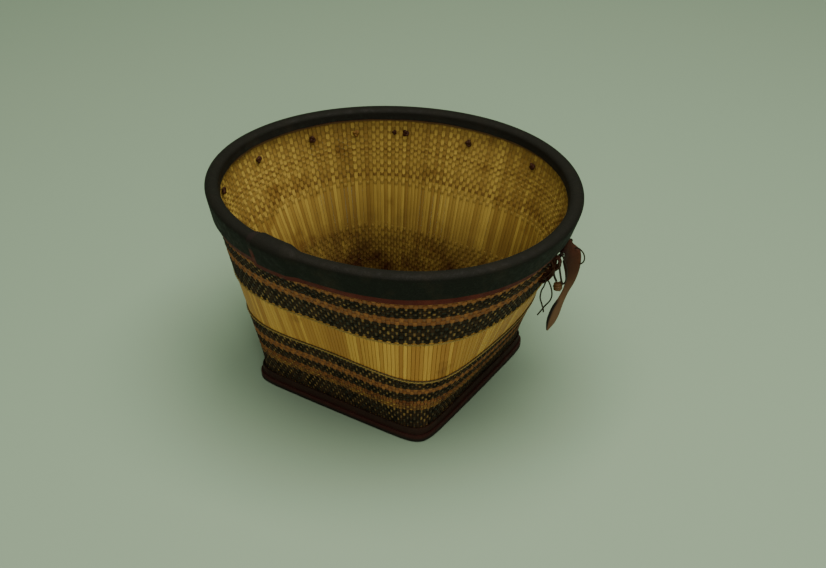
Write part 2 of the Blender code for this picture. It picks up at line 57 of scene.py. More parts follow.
# %% The camera
CAMERA_AZIMUTH = math.radians(33.43)
CAMERA_ELEVATION = math.radians(33.60)
CAMERA_DISTANCE = 1.09307
CAMERA_ROLL = math.radians(-0.434)
CAMERA_AIM_RIGHT = 0.01593
CAMERA_AIM_HEIGHT = 0.07585
CAMERA_LENS_MM = 61.0
CAMERA_SENSOR_MM = 36.0
CAMERA_SHIFT = (0.0012, -0.0036)
UP = np.array([0.0, 0.0, 1.0])
CAMERA_RIGHT = np.array([math.cos(CAMERA_AZIMUTH), math.sin(CAMERA_AZIMUTH), 0.0])


def put_looking(thing, aim, azimuth, elevation, distance, roll=0.0):
    """Puts a camera or a light at a distance from its aim, so that it looks along minus back.

    Back is worked out from the azimuth, counted from -Y, and the elevation above the level.
    """
    right = np.array([math.cos(azimuth), math.sin(azimuth), 0.0])
    back = np.array([
        math.sin(azimuth) * math.cos(elevation),
        -math.cos(azimuth) * math.cos(elevation),
        math.sin(elevation),
    ])
    up = np.cross(back, right)
    matrix = np.eye(4)
    matrix[:3, 0] = right * math.cos(roll) + up * math.sin(roll)
    matrix[:3, 1] = up * math.cos(roll) - right * math.sin(roll)
    matrix[:3, 2] = back
    matrix[:3, 3] = aim + back * distance
    thing.matrix_world = Matrix(matrix.tolist())
    bpy.context.scene.collection.objects.link(thing)


camera_data = bpy.data.cameras.new("camera")
camera_data.lens = CAMERA_LENS_MM
camera_data.sensor_width = CAMERA_SENSOR_MM
camera_data.shift_x, camera_data.shift_y = CAMERA_SHIFT
camera = bpy.data.objects.new("camera", camera_data)
camera_aim = CAMERA_RIGHT * CAMERA_AIM_RIGHT + UP * CAMERA_AIM_HEIGHT
put_looking(camera, camera_aim, CAMERA_AZIMUTH, CAMERA_ELEVATION, CAMERA_DISTANCE, CAMERA_ROLL)
bpy.context.scene.camera = camera
print("The camera is", round(camera.location.length, 3), "m from the origin")

# %% [markdown]
# Every new piece is a sheet or a tube of quads, worked out as one numpy array of points.
# A skin is a list of rings: each ring goes once round the piece's section, and the rings
# follow each other along its path. One function turns such arrays into a mesh, with a UV
# map that measures millimetres along the path and round the section, so that grain and
# twist follow each strip. One number per strip is kept as an attribute, and materials use
# it to give each strip its own tone: 0 and less is the darkest, 1 the lightest.

# %% Skins
SHARP_EDGE = math.radians(50.0)


def skin_faces(rings, sides, closed):
    """Quads between each ring and the next, and between the last and first if closed."""
    ring = np.arange(rings if closed else rings - 1)[:, None]
    side = np.arange(sides)[None, :]
    here, after = ring * sides, (ring + 1) % rings * sides
    beside = (side + 1) % sides
    return np.stack([here + side, here + beside, after + beside, after + side], -1).reshape(-1, 4)


def cap_faces(rings, sides):
    """Rows of quads that close the first ring and the last one, whose count of points is even."""
    step = np.arange(sides // 2 - 1)
    first = np.stack([step + 1, step, sides - 1 - step, sides - 2 - step], -1)
    return np.concatenate([first, first[:, ::-1] + (rings - 1) * sides])


def distances(points, axis):
    """For each place of an axis and for the way back to the first, how far it is from there."""
    steps = np.linalg.norm(np.diff(points, axis=axis, append=np.take(points, [0], axis)), axis=-1)
    steps = steps if axis == 1 else steps.mean(1)
    return np.concatenate([np.zeros((len(steps), 1)), np.cumsum(steps, 1)], 1)


def put_skins(name, skins, closed=False, node=None, tones=0.5, inner_sides=(), body="root",
              sharp=SHARP_EDGE, **values):
    """Makes one mesh from skins of shape (count, rings, sides, 3), with faces pointing out.

    UV u is the distance along the path and v the distance round the section, in millimetres.
    Faces on the sides listed in inner_sides take the second material. Each further value is
    kept for every point as an attribute of that name, spread over count, rings and sides.
    The piece moves with its body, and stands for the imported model's node that is named.
    """
    skins = np.asarray(skins, float)
    count, rings, sides, _ = skins.shape
    faces = skin_faces(rings, sides, closed)
    ring, side = np.divmod(np.arange(len(faces)), sides)
    u = distances(skins.mean(2), 1)[:, np.stack([ring, ring, ring + 1, ring + 1], -1)]
    v = distances(skins, 2)[:, np.stack([side, side + 1, side + 1, side], -1)]
    inner = np.isin(side, inner_sides)
    if not closed:
        caps = cap_faces(rings, sides)
        faces = np.concatenate([faces, caps])
        inner = np.concatenate([inner, np.zeros(len(caps), bool)])
        u, v = (np.concatenate([part, np.zeros((count, len(caps), 4))], 1) for part in (u, v))
    first_points = np.arange(count)[:, None, None] * rings * sides
    corners = (faces + first_points).reshape(-1).astype(np.int32)
    mesh = bpy.data.meshes.new(name)
    mesh.vertices.add(skins.size // 3)
    mesh.vertices.foreach_set("co", skins.reshape(-1).astype(np.float32))
    mesh.loops.add(corners.size)
    mesh.loops.foreach_set("vertex_index", corners)
    mesh.polygons.add(corners.size // 4)
    mesh.polygons.foreach_set("loop_start", np.arange(0, corners.size, 4, dtype=np.int32))
    mesh.polygons.foreach_set("material_index", np.tile(inner, count).astype(np.int32))
    layer = mesh.uv_layers.new(name="strip")
    layer.data.foreach_set("uv", (np.stack([u, v], -1) / MM).reshape(-1).astype(np.float32))
    values["tone"] = np.reshape(tones, (-1, 1, 1))
    for label, value in values.items():
        spread = np.broadcast_to(value, (count, rings, sides)).reshape(-1).astype(np.float32)
        mesh.attributes.new(label, "FLOAT", "POINT").data.foreach_set("value", spread)
    mesh.update(calc_edges=True)
    mesh.shade_smooth()
    mesh.set_sharp_from_angle(angle=sharp)
    piece = bpy.data.objects.new(name, mesh)
    bpy.context.scene.collection.objects.link(piece)
    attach(piece, body)
    if node:
        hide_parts(node)
    print(f"{name}: {len(mesh.polygons)} faces")
    return piece


print("A closed skin of 8 rings with 6 sides has", len(skin_faces(8, 6, True)), "faces")

# %% [markdown]
# A thong is a narrow strip of leather rolled between the palms until it is nearly round.
# Its route is a few given points, and a smooth curve of cubic pieces through them
# gives an even line. A round section is then carried along that line, turning as little
# as possible from one ring to the next, which keeps the tube from pinching.

# %% Routes and tubes
CURVE_STEPS = 14
FIRST_SIDE = (0.13, 0.27, 0.95)


def lengths_along(path):
    """How far along a path each of its points lies from the first."""
    return np.concatenate([[0.0], np.cumsum(np.linalg.norm(np.diff(path, axis=0), axis=1))])


def unit(vectors):
    """Vectors of length one in the given directions."""
    return vectors / np.linalg.norm(vectors, axis=-1, keepdims=True)


def smooth_route(points, count, closed=False):
    """Evenly spread points on a smooth curve through the given ones.

    Each piece is a cubic, whose slope at a point is half the step between its neighbours.
    """
    knots = np.asarray(points, float)
    before, after = (knots[-1:], knots[:2]) if closed else (knots[:1], knots[-1:])
    ends = np.concatenate([before, knots, after])
    share = np.arange(CURVE_STEPS)[None, :, None] / CURVE_STEPS
    before, start, end, after = (ends[step:len(ends) - 3 + step, None] for step in range(4))
    fine = 0.5 * (2 * start + (end - before) * share
                  + (2 * before - 5 * start + 4 * end - after) * share ** 2
                  + (3 * start - before - 3 * end + after) * share ** 3)
    fine = np.concatenate([fine.reshape(-1, 3), knots[:1] if closed else knots[-1:]])
    length = lengths_along(fine)
    places = np.linspace(0, length[-1], count, endpoint=not closed)
    return np.stack([np.interp(places, length, fine[:, axis]) for axis in range(3)], -1)


def path_frames(path, closed=False):
    """For each point of a path two directions across it, carried along with as little turn."""
    ahead = np.roll(path, -1, 0) - np.roll(path, 1, 0)
    if not closed:
        ahead[0], ahead[-1] = path[1] - path[0], path[-1] - path[-2]
    ahead = unit(ahead)
    side = np.zeros_like(path)
    side[0] = unit(np.cross(ahead[0], FIRST_SIDE))
    for step in range(1, len(path)):
        side[step] = unit(side[step - 1] - ahead[step] * (side[step - 1] @ ahead[step]))
    return side, np.cross(ahead, side)


def tube(path, radius, sides=10, closed=False, flat=1.0, twist=0.0):
    """Rings of a round or flattened section carried along the path."""
    side, other = path_frames(path, closed)
    turn = np.linspace(0, math.tau, sides, endpoint=False) + twist * np.arange(len(path))[:, None]
    return (path[:, None] + side[:, None] * radius * np.cos(turn)[..., None]
            + other[:, None] * radius * flat * np.sin(turn)[..., None])


test_route = smooth_route(((0, 0, 0), (0, 0, 0.01), (0, 0, 0.03)), 7)
print("A test route's points are", round(test_route[1, 2] / MM, 2), "mm apart")

# %% [markdown]
# Two loose ends of thong hang out of the wall below the rim. They are the only free cords
# here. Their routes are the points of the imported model, so each starts where it leaves the
# wall, has the length that shows from end to end, and ends as a plain cut end.

# %% The two thong tails
TAIL_DIAMETER = 0.0011
TAIL_POINTS = 40
TAIL_ROUTES = {
    "thong_tail_left": (
        (0.1300, 0.0023, 0.1260), (0.1316, 0.0023, 0.1258), (0.1329, 0.0023, 0.1238),
        (0.1327, 0.0023, 0.1208), (0.1315, 0.0023, 0.1168), (0.1299, 0.0023, 0.1128),
        (0.1292, 0.0023, 0.1064), (0.1307, 0.0023, 0.1017), (0.1321, 0.0023, 0.0976),
        (0.1324, 0.0023, 0.0950)),
    "thong_tail_right": (
        (0.1288, 0.0051, 0.1231), (0.1309, 0.0051, 0.1230), (0.1333, 0.0051, 0.1215),
        (0.1352, 0.0051, 0.1185), (0.1367, 0.0051, 0.1140), (0.1371, 0.0051, 0.1093),
        (0.1356, 0.0051, 0.1043), (0.1319, 0.0051, 0.0985), (0.1285, 0.0051, 0.0924),
        (0.1262, 0.0051, 0.0885)),
}
thongs = []
for node_name, points in TAIL_ROUTES.items():
    route = smooth_route(points, TAIL_POINTS)
    tail = put_skins("loose_" + node_name, tube(route, TAIL_DIAMETER / 2)[None])
    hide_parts(node_name)
    thongs.append(tail)

# %% [markdown]
# The wall is one formula. Seen from above, its outline is a superellipse: a power of the
# sum of two powers, nearly a square at the foot and a circle at the rim. An oval swell is
# added towards the top, and the mouth leans a little off the foot's middle. An angle, a
# height and an offset from the weaving's outer face give any point in or on the wall, so
# every layer can be placed by it.

# %% The wall's formula
FOOT_HALF_WIDTH = 0.0782
MOUTH_HALF_WIDTH = 0.1303
FOOT_ROUNDNESS = 0.088
MOUTH_ROUNDNESS = 0.5
ROUNDING_PACE = 0.687
OVAL_SWELL = 0.0090
OVAL_DIRECTION = math.radians(8.7)
MOUTH_SHIFT = (0.0085, -0.0088)
SADDLE_RISE = 0.0018
SADDLE_DIRECTION = math.radians(60.8)
DIP_DEPTH = 0.006
DIP_DIRECTION = math.radians(-42.0)
DIP_SPREAD = math.radians(17.0)
DIP_HEIGHT = 0.070
DIP_REACH = 0.015
FOOT_HEIGHT = 0.012
WALL_TOP = 0.16935


def wall(angle, height, offset):
    """Points of the wall: superellipse reach plus oval swell, with the mouth's shift.

    The saddle raises two sides of the rim, and the dip is a bell-shaped dent in one corner.
    """
    rise = np.clip((height - FOOT_HEIGHT) / (WALL_TOP - FOOT_HEIGHT), 0.0, 1.0)
    half_width = FOOT_HALF_WIDTH + (MOUTH_HALF_WIDTH - FOOT_HALF_WIDTH) * rise
    roundness = FOOT_ROUNDNESS + (MOUTH_ROUNDNESS - FOOT_ROUNDNESS) * rise ** ROUNDING_PACE
    along_x, along_y = np.abs(np.cos(angle)), np.abs(np.sin(angle))
    longer, shorter = np.maximum(along_x, along_y), np.minimum(along_x, along_y)
    reach = half_width / (longer * (1 + (shorter / longer) ** (1 / roundness)) ** roundness)
    swell = OVAL_SWELL * np.cos(2 * (angle - OVAL_DIRECTION)) * np.sin(math.pi / 2 * rise)
    radius = reach + swell + offset
    from_dip = (np.remainder(angle - DIP_DIRECTION + math.pi, math.tau) - math.pi) / DIP_SPREAD
    dip = DIP_DEPTH * np.exp(-from_dip ** 2 - ((height - DIP_HEIGHT) / DIP_REACH) ** 2)
    saddle = SADDLE_RISE * np.cos(2 * (angle - SADDLE_DIRECTION)) * rise
    return np.stack(np.broadcast_arrays(
        MOUTH_SHIFT[0] * rise + radius * np.cos(angle),
        MOUTH_SHIFT[1] * rise + radius * np.sin(angle),
        height - dip + saddle,
    ), -1)


SPLINTS_A_SIDE = 58
SPLINTS = 4 * SPLINTS_A_SIDE
FIRST_CORNER = -math.pi / 4
TABLE_STEPS = 240


def splint_angles(height, places):
    """Angles of places counted in splints from the first corner, spread evenly along each side."""
    lap, within = np.divmod(np.asarray(places, float), SPLINTS)
    which = np.minimum((within // SPLINTS_A_SIDE).astype(int), 3)
    angles = np.zeros(within.shape)
    for side in range(4):
        start = FIRST_CORNER + side * math.pi / 2
        turns = np.linspace(start, start + math.pi / 2, TABLE_STEPS)
        length = lengths_along(wall(turns, height, 0.0))
        counts = length / length[-1] * SPLINTS_A_SIDE
        here = which == side
        angles[here] = np.interp(within[here] - side * SPLINTS_A_SIDE, counts, turns)
    return angles + lap * math.tau


for height in (FOOT_HEIGHT, 0.090, 0.165):
    pair = wall(splint_angles(height, (20, 21)), height, 0.0)
    pitch = np.linalg.norm(pair[1] - pair[0])
    print("At", round(height / MM), "mm the splints are", round(pitch / MM, 2), "mm apart")

# %% [markdown]
# The bands of the wall, from the foot up. Each band is a number of weft rows of one
# colour. On the real basket a row is one splint that runs over an upright and under the
# next, and the next row does the opposite, which gives the chequer of small light spots
# where an upright comes to the front.

# %% Bands and rows
FOLD_TOP = 0.0026
# Each band's name, its height in metres, its number of weft rows and their dye
BANDS = (
    ("foot_weft", 0.0094, 3, "black"),
    ("lower_black_weft", 0.018, 5, "black"),
    ("lower_tan_weft", 0.005, 2, "tan"),
    ("lower_red_brown_weft", 0.0055, 2, "red_brown"),
    ("middle_black_weft", 0.009, 3, "black"),
    ("lower_brown_weft", 0.007, 2, "brown"),
    ("waist_black_weft", 0.011, 3, "black"),
    ("waist_twine", 0.003, 0, None),
    (None, 0.032, 0, None),
    ("shoulder_twine", 0.0015, 0, None),
    ("upper_black_weft", 0.019, 5, "black"),
    ("upper_brown_weft", 0.007, 2, "brown"),
    ("neck_black_weft", 0.010, 4, "black"),
    ("neck_brown_weft", 0.0055, 2, "brown"),
    ("rim_bed_weft", 0.02385, 7, "brown"),
)


def band_rows():
    """Each band's rows as (low, high, parity), and each band's lowest and highest level."""
    rows, levels, low, below = {}, {}, FOLD_TOP, 0
    for band, height, count, dye in BANDS:
        edges = [low + height * row / max(count, 1) for row in range(count + 1)]
        rows[band] = [(*edges[row:row + 2], (below + row) % 2) for row in range(count)]
        levels[band] = (low, low + height)
        low, below = low + height, below + count
    return rows, levels


BAND_ROWS, BAND_LEVELS = band_rows()
top_mm = round(BAND_LEVELS["rim_bed_weft"][1] / MM, 2)
print(sum(map(len, BAND_ROWS.values())), "rows of weft, up to", top_mm, "mm")

# %% [markdown]
# Weft rows. A row lies outside an upright, dives through the gap and passes inside the
# next one. It stays outside for longer than inside, so that little of each upright shows,
# and it is wide where it lies in front and pinched where it goes behind. The uprights stay
# almost straight, as the stiffer splints do, so the rows make the relief.

# %% The weft rows
WEAVE_MIDDLE = -0.0014
WEFT_THICKNESS = 0.00045
WEFT_SWING = 0.00078
WEFT_SAMPLES = 6
WEFT_HURRY = 3.4
WEFT_OUTSIDE_BIAS = 0.12
WEFT_FRONT_SHARE = 0.54
WEFT_BACK_SHARE = 0.25
WEFT_CROWN = 0.00020
WEFT_LOOSENESS = 0.05
WEFT_WANDER = 0.05
WEFT_WAVES = 7
WEFT_WAVE_DRIFT = 40 / 0.17
WEFT_FRONT_WIDTH = 1.6
WEFT_FRONT_POWER = 0.8

rng = np.random.default_rng(7)


def weft_row(low, high, parity):
    """One closed row and how far outside each point lies, from 0 to 1.

    Its swing is the tanh of a biased cosine over the places of the uprights.
    """
    places = np.arange(SPLINTS * WEFT_SAMPLES) / WEFT_SAMPLES
    middle, height = (low + high) / 2, high - low
    beat = np.cos(math.pi * (places - 0.5 + parity))
    swing = np.tanh(WEFT_HURRY * (beat + WEFT_OUTSIDE_BIAS))
    angle = splint_angles(middle, places)
    in_front = np.clip((beat + 1) / WEFT_FRONT_WIDTH, 0, 1) ** WEFT_FRONT_POWER
    share = WEFT_BACK_SHARE + (WEFT_FRONT_SHARE - WEFT_BACK_SHARE) * in_front
    loose = rng.normal(0, WEFT_LOOSENESS, SPLINTS)[places.astype(int)]
    half = height * share * (1 + loose)
    wander = WEFT_WANDER * height * np.sin(angle * WEFT_WAVES + middle * WEFT_WAVE_DRIFT)
    offset = WEAVE_MIDDLE + WEFT_SWING * swing
    up = half[:, None] * [1, 0, -1, -1, 0, 1]
    out = offset[:, None] + WEFT_THICKNESS / 2 * np.array([1, 1, 1, -1, -1, -1])
    out = out + WEFT_CROWN * np.array([0, 1, 0, 0, -1, 0])
    outside = np.clip((out - WEAVE_MIDDLE) / WEFT_SWING * 1.5, 0, 1)
    return wall(angle[:, None], middle + wander[:, None] + up, out), outside


weaving = {}
for band, rows in BAND_ROWS.items():
    if rows:
        skins, outside = zip(*(weft_row(*row) for row in rows))
        middles = np.array([(low + high) / 2 / MM for low, high, parity in rows])
        weaving[band] = put_skins("woven_" + band.removesuffix("_weft"), skins, True, band,
                                  rng.random(len(rows)), outside=np.stack(outside),
                                  level=middles[:, None, None])

# %% [markdown]
# Uprights. Each is one splint about three millimetres wide, with edges that are cut back
# on the outer side. It runs nearly straight up the wall, so eight levels are enough. The four
# sides are four pieces, because the splints of one side are laid and turned up together.
# The height of each point is kept as an attribute, so that the paint can follow the bands.

# %% The uprights
SPLINT_WIDTH = 0.00318
SPLINT_THICKNESS = 0.0009
SPLINT_CROWN = 0.00012
SPLINT_LEAN = 0.00006
SPLINT_SLIM_SHARE = 0.08
SPLINT_SLIMNESS = (0.94, 0.99)
SPLINT_FULLNESS = 1.08
SPLINT_ACROSS = np.array([-1, -0.85, 0, 0.85, 1, 0])
SPLINT_DEPTHS = np.array([-0.15, 0.5, 0.5, 0.5, -0.15, -0.5])
SPLINT_CROWNED = np.array([0, 0, 1, 0, 0, -1])
SPLINT_LEVELS = np.array([3.0, 13, 24, 46, 70, 95, 132, 169.35]) * MM
DARK_SPLINT_SHARE = 0.14
DARK_SPLINT_TONE = 0.7


def side_splints(side):
    """Strips of six points a ring: two edges, three points in front and one behind."""
    places = np.arange(SPLINTS_A_SIDE) + 0.5 + side * SPLINTS_A_SIDE
    lean = rng.normal(0, SPLINT_LEAN, SPLINTS_A_SIDE)
    slim = rng.random(SPLINTS_A_SIDE) < SPLINT_SLIM_SHARE
    slimness = rng.uniform(*SPLINT_SLIMNESS, SPLINTS_A_SIDE)
    width = SPLINT_WIDTH * np.where(slim, slimness, SPLINT_FULLNESS)
    section = SPLINT_DEPTHS * SPLINT_THICKNESS + SPLINT_CROWNED * SPLINT_CROWN
    rings = []
    for height in SPLINT_LEVELS:
        ends = wall(splint_angles(height, [places - 0.5, places + 0.5]), height, 0.0)
        pitch = np.linalg.norm(ends[1] - ends[0], axis=-1)
        half = np.minimum(width / pitch, 1) / 2
        angles = splint_angles(height, places[:, None] + half[:, None] * SPLINT_ACROSS)
        rings.append(wall(angles, height, WEAVE_MIDDLE + lean[:, None] + section))
    return np.stack(rings, 1)


uprights = []
for side, name in enumerate(("right", "back", "left", "front")):
    tones = rng.random(SPLINTS_A_SIDE)
    tones -= DARK_SPLINT_TONE * (rng.random(SPLINTS_A_SIDE) < DARK_SPLINT_SHARE)
    uprights.append(put_skins(
        name + "_splints", side_splints(side), False, name + "_uprights", tones, inner_sides=(4, 5),
        sharp=math.radians(30.0), level=SPLINT_LEVELS[:, None] / MM, edge=np.abs(SPLINT_ACROSS)))

# %% [markdown]
# Twined rows. At the waist and at the shoulder the weaving is closed by a row of twining:
# two strands that cross between every two uprights. Each strand is a thin round cord that
# winds about the row's line once every two uprights, and the other is half a turn behind.

# %% The twined rows
TWINE_MIDDLE = -0.0006
TWINE_FLATTENING = 0.55
waist_low, waist_high = BAND_LEVELS["waist_twine"]
shoulder_middle = sum(BAND_LEVELS["shoulder_twine"]) / 2


def twined_row(height, radius, reach):
    """Two strands that wind round a line in the wall, half a turn apart."""
    places = np.arange(SPLINTS * 4) / 4
    angle = splint_angles(height, places)
    strands = []
    for start in (0.0, math.pi):
        turn = math.pi * places + start
        line = wall(angle, height + reach * np.sin(turn) * TWINE_FLATTENING,
                    TWINE_MIDDLE + reach * np.cos(turn))
        strands.append(tube(line, radius, sides=6, closed=True))
    return np.stack(strands)


waist, waist_shadow_line, shoulder = [
    put_skins("twined_" + name, twined_row(height, radius, reach), True, node, tones)
    for name, node, height, radius, reach, tones in (
        ("waist", "waist_twine", waist_low + 0.0011, 0.00052, 0.00055, (0.4, 0.6)),
        # The waist line is a thin dark twine under the bare band's lower edge: a painted shadow
        # line.
        ("waist_shadow_line", None, waist_high - 0.0006, 0.00034, 0.00040, 0.5),
        ("shoulder", "shoulder_twine", shoulder_middle - 0.0004, 0.00048, 0.00060, 0.5))]

# %% [markdown]
# The bottom is plain weave too: two sets of splints cross at right angles. They lie on the
# fold of the leather at the edge and sag to the resting face in the middle. A shallow
# ramp joins the two levels, so the splints bend there.

# %% The bottom
MAT_SPLINTS = 56
MAT_EDGE = 0.0752
MAT_FLAT = 0.0592
MAT_RAMP = 0.0040
MAT_FILL = 0.92
MAT_THICKNESS = 0.0007
MAT_HEIGHT = 0.0015
MAT_SWING = 0.0006
MAT_LIFT = 0.0026


def mat_splints(along_x):
    """Strips that swing over and under the crossing ones, with ends that rise onto the fold."""
    pitch = 2 * MAT_EDGE / MAT_SPLINTS
    across = (np.arange(MAT_SPLINTS) + 0.5) * pitch - MAT_EDGE
    run = np.concatenate([[-MAT_EDGE], across, [MAT_EDGE]])
    first_up = np.where(np.arange(MAT_SPLINTS) % 2, 1, -1) * (1 if along_x else -1)
    swing = first_up[:, None] * np.sin(math.pi * (run + MAT_EDGE) / pitch)
    outer = np.maximum(np.abs(run), np.abs(across)[:, None])
    lift = MAT_LIFT * np.clip((outer - MAT_FLAT) / MAT_RAMP, 0, 1)
    middle = MAT_HEIGHT + lift + MAT_SWING * swing
    run_all, across_all, height = np.broadcast_arrays(
        run[:, None],
        across[:, None, None] + pitch * MAT_FILL / 2 * np.array([1, -1, -1, 1]),
        middle[..., None] + MAT_THICKNESS / 2 * np.array([1, 1, -1, -1]),
    )
    if along_x:
        return np.stack([run_all, across_all, height], -1)
    return np.stack([across_all, run_all, height], -1)[:, :, ::-1]


bottom = [put_skins("bottom_splints_" + way, mat_splints(way == "across"), False,
                    "base_splints_" + way, rng.random(MAT_SPLINTS)) for way in ("across", "along")]

# %% [markdown]
# Leather over the rim. A strip of red-brown leather is folded over the rim first, and a
# narrower black one over that, so the red shows as a line below the black. Both start and
# end at one place, where the head laps over the tail. Each is a section, that is a leg, a
# half ellipse and a leg, carried round the wall and lifted where it lies on its own tail.

# %% The rim leathers
GAP = 0.0003
RIM_MIDDLE = -0.0027
UNDERLAY_THICKNESS = 0.0008
BINDING_THICKNESS = 0.0012
RED_RIM_HALF_WIDTH = GAP - RIM_MIDDLE
BLACK_RIM_HALF_WIDTH = RED_RIM_HALF_WIDTH + UNDERLAY_THICKNESS + GAP
RED_RIM_CROWN = 0.0012
BLACK_RIM_CROWN = RED_RIM_CROWN + UNDERLAY_THICKNESS + GAP
RED_RIM_LOW = BAND_LEVELS["rim_bed_weft"][0]
BLACK_RIM_LOW = RED_RIM_LOW + 0.0060
BLACK_RIM_INNER_LOW = WALL_TOP - 0.0044
RED_RIM_INNER_LOW = BLACK_RIM_INNER_LOW - 0.0010
LAP_DIRECTION = math.radians(-105.3)
LAP_LENGTH = 0.025
LAP_RAMP = 0.013
LAP_RED_SHOWING = 0.0065
LAP_TAIL_CLEARANCE = 0.002
LAP_LIFT = UNDERLAY_THICKNESS + BINDING_THICKNESS + 2 * GAP
UNDERLAY_HEAD = LAP_DIRECTION - LAP_RED_SHOWING / MOUTH_HALF_WIDTH
LAP_LEVEL_END = LAP_DIRECTION + LAP_LENGTH / MOUTH_HALF_WIDTH
LAP_TAIL = LAP_LEVEL_END - LAP_TAIL_CLEARANCE / MOUTH_HALF_WIDTH
# The waves of a hand-cut edge: each one's size, its count round the wall and its start
RIM_WAVES = ((1.0, 9, 1), (0.6, 23, 2), (0.4, 51, 0))
LEATHER_STEPS = 520
LEG_STEPS = 5
ROOF_STEPS = 14


def wavy(angle, waves):
    """A sum of sines round the wall, which makes an edge a little uneven."""
    return sum(size * np.sin(angle * count + start) for size, count, start in waves)


def rim_path(half_width, crown, outer_low, inner_low, lift):
    """Offsets and heights of a leg, a half ellipse and a leg, for every angle at once."""
    outer_low, inner_low, lift = outer_low[:, None], inner_low[:, None], lift[:, None]
    turn = np.linspace(0, math.pi, ROOF_STEPS + 1)
    share = np.arange(LEG_STEPS) / LEG_STEPS
    reach, leg_top = half_width + lift, WALL_TOP + GAP
    offsets = [reach + 0 * share, reach * np.cos(turn), 0 * share - reach]
    heights = [outer_low + (leg_top - outer_low) * share, leg_top + (crown + lift) * np.sin(turn),
               inner_low + (leg_top - inner_low) * share[::-1]]
    return RIM_MIDDLE + np.concatenate(offsets, 1), np.concatenate(heights, 1)


def rim_leather(half_width, crown, thickness, outer_low, inner_low, head, wave):
    """A closed section for each angle from the head, once round, to the tail under the head."""
    angle = np.linspace(head, LAP_TAIL + math.tau, LEATHER_STEPS)
    drop = np.clip((angle - LAP_LEVEL_END) / (LAP_RAMP / MOUTH_HALF_WIDTH), 0, 1)
    lift = LAP_LIFT * (1 - drop * drop * (3 - 2 * drop))
    edge = wave * wavy(angle, RIM_WAVES)
    outer, inner = (
        rim_path(half_width + more, crown + more, outer_low + edge, inner_low - edge, lift)
        for more in (thickness, 0.0))
    offsets, heights = (np.concatenate([out, back[:, ::-1]], 1) for out, back in zip(outer, inner))
    return wall(angle[:, None], heights, offsets)[:, ::-1]


red_rim = put_skins("red_rim_leather", rim_leather(
    RED_RIM_HALF_WIDTH, RED_RIM_CROWN, UNDERLAY_THICKNESS, RED_RIM_LOW, RED_RIM_INNER_LOW,
    UNDERLAY_HEAD, wave=0.00012)[None], False, "rim_underlay")
black_rim = put_skins("black_rim_leather", rim_leather(
    BLACK_RIM_HALF_WIDTH, BLACK_RIM_CROWN, BINDING_THICKNESS, BLACK_RIM_LOW, BLACK_RIM_INNER_LOW,
    LAP_DIRECTION, wave=0.00020)[None], False, "rim_binding")

# %% [markdown]
# Leather round the foot. The same two leathers go round the foot and turn under it, the
# black one outside. The bend under the foot is a small quarter circle.

# %% The foot leathers
FOOT_BINDING_HEIGHT = 0.0062
RED_FOOT_OUTER = GAP + UNDERLAY_THICKNESS
BLACK_FOOT_OUTER = RED_FOOT_OUTER + GAP + BINDING_THICKNESS
RED_FOOT_LOW = BINDING_THICKNESS + GAP
FOOT_WAVES = ((1.0, 8, 2), (0.5, 29, 0))
FOOT_STEPS = 360
BEND_STEPS = 5


def foot_leather(outer, thickness, low, top, fold, wave, bend):
    """A closed section: a leg up the wall, a quarter circle and a fold under the foot."""
    places = np.linspace(0, SPLINTS, FOOT_STEPS, endpoint=False)
    angle = splint_angles(FOOT_HEIGHT, places)[:, None]
    turn = np.linspace(0, math.pi / 2, BEND_STEPS)
    faces = []
    for reach, level, radius in (
            (outer, low, bend), (outer - thickness, low + thickness, bend - thickness)):
        faces.append([
            (reach, top), (reach, (top + low) / 2),
            *zip(reach - radius + radius * np.cos(turn), level + radius - radius * np.sin(turn)),
            (outer - fold, level)])
    offsets, heights = np.array(faces[0] + faces[1][::-1]).T
    edge = wave * wavy(angle, FOOT_WAVES)
    return wall(angle, np.maximum(heights + (heights == top) * edge, low), offsets)


black_foot = put_skins("black_foot_leather", foot_leather(
    BLACK_FOOT_OUTER, BINDING_THICKNESS, low=0.0, top=FOOT_BINDING_HEIGHT, fold=0.0176,
    wave=0.00015, bend=0.0016)[None], True, "base_binding")
red_foot = put_skins("red_foot_leather", foot_leather(
    RED_FOOT_OUTER, UNDERLAY_THICKNESS, low=RED_FOOT_LOW, top=FOOT_HEIGHT, fold=0.0141,
    wave=0.00012, bend=0.0010)[None], True, "base_underlay")

# %% [markdown]
# Knots inside the rim. Thongs through the wall tie the leather down, and each ends inside
# in a small knot. A trefoil is the simplest true knot, and a tube along a flattened
# trefoil looks like one drawn tight.

# %% The knots inside the rim
TIE_DIRECTIONS = (22, 60, 91, 118.5, 138, 155, 179, 204, 229, 254, 279, 304, 329, 354)
TIE_HEIGHT = WALL_TOP - 0.0178
TIE_STANDOFF = 0.0016
TIE_ACROSS = 0.000651
TIE_UPWARD = 0.000777
TIE_DEPTH = 0.00055
TIE_THONG_RADIUS = 0.00105
TIE_POINTS = 48
TIE_TURN = 0.9
SECOND_KNOT_DIRECTION = 123.1
SECOND_KNOT_TURN = 0.4
SECOND_KNOT_SIZE = 0.7


def wall_frame(angle, height, offset):
    """A place on the wall, with its directions out of the wall and sideways, both level."""
    step = math.radians(3)
    before, place, after = wall(angle + step * np.array([-1, 0, 1]), height, offset)
    sideways = unit((after - before) * [1, 1, 0])
    return place, np.array([sideways[1], -sideways[0], 0.0]), sideways


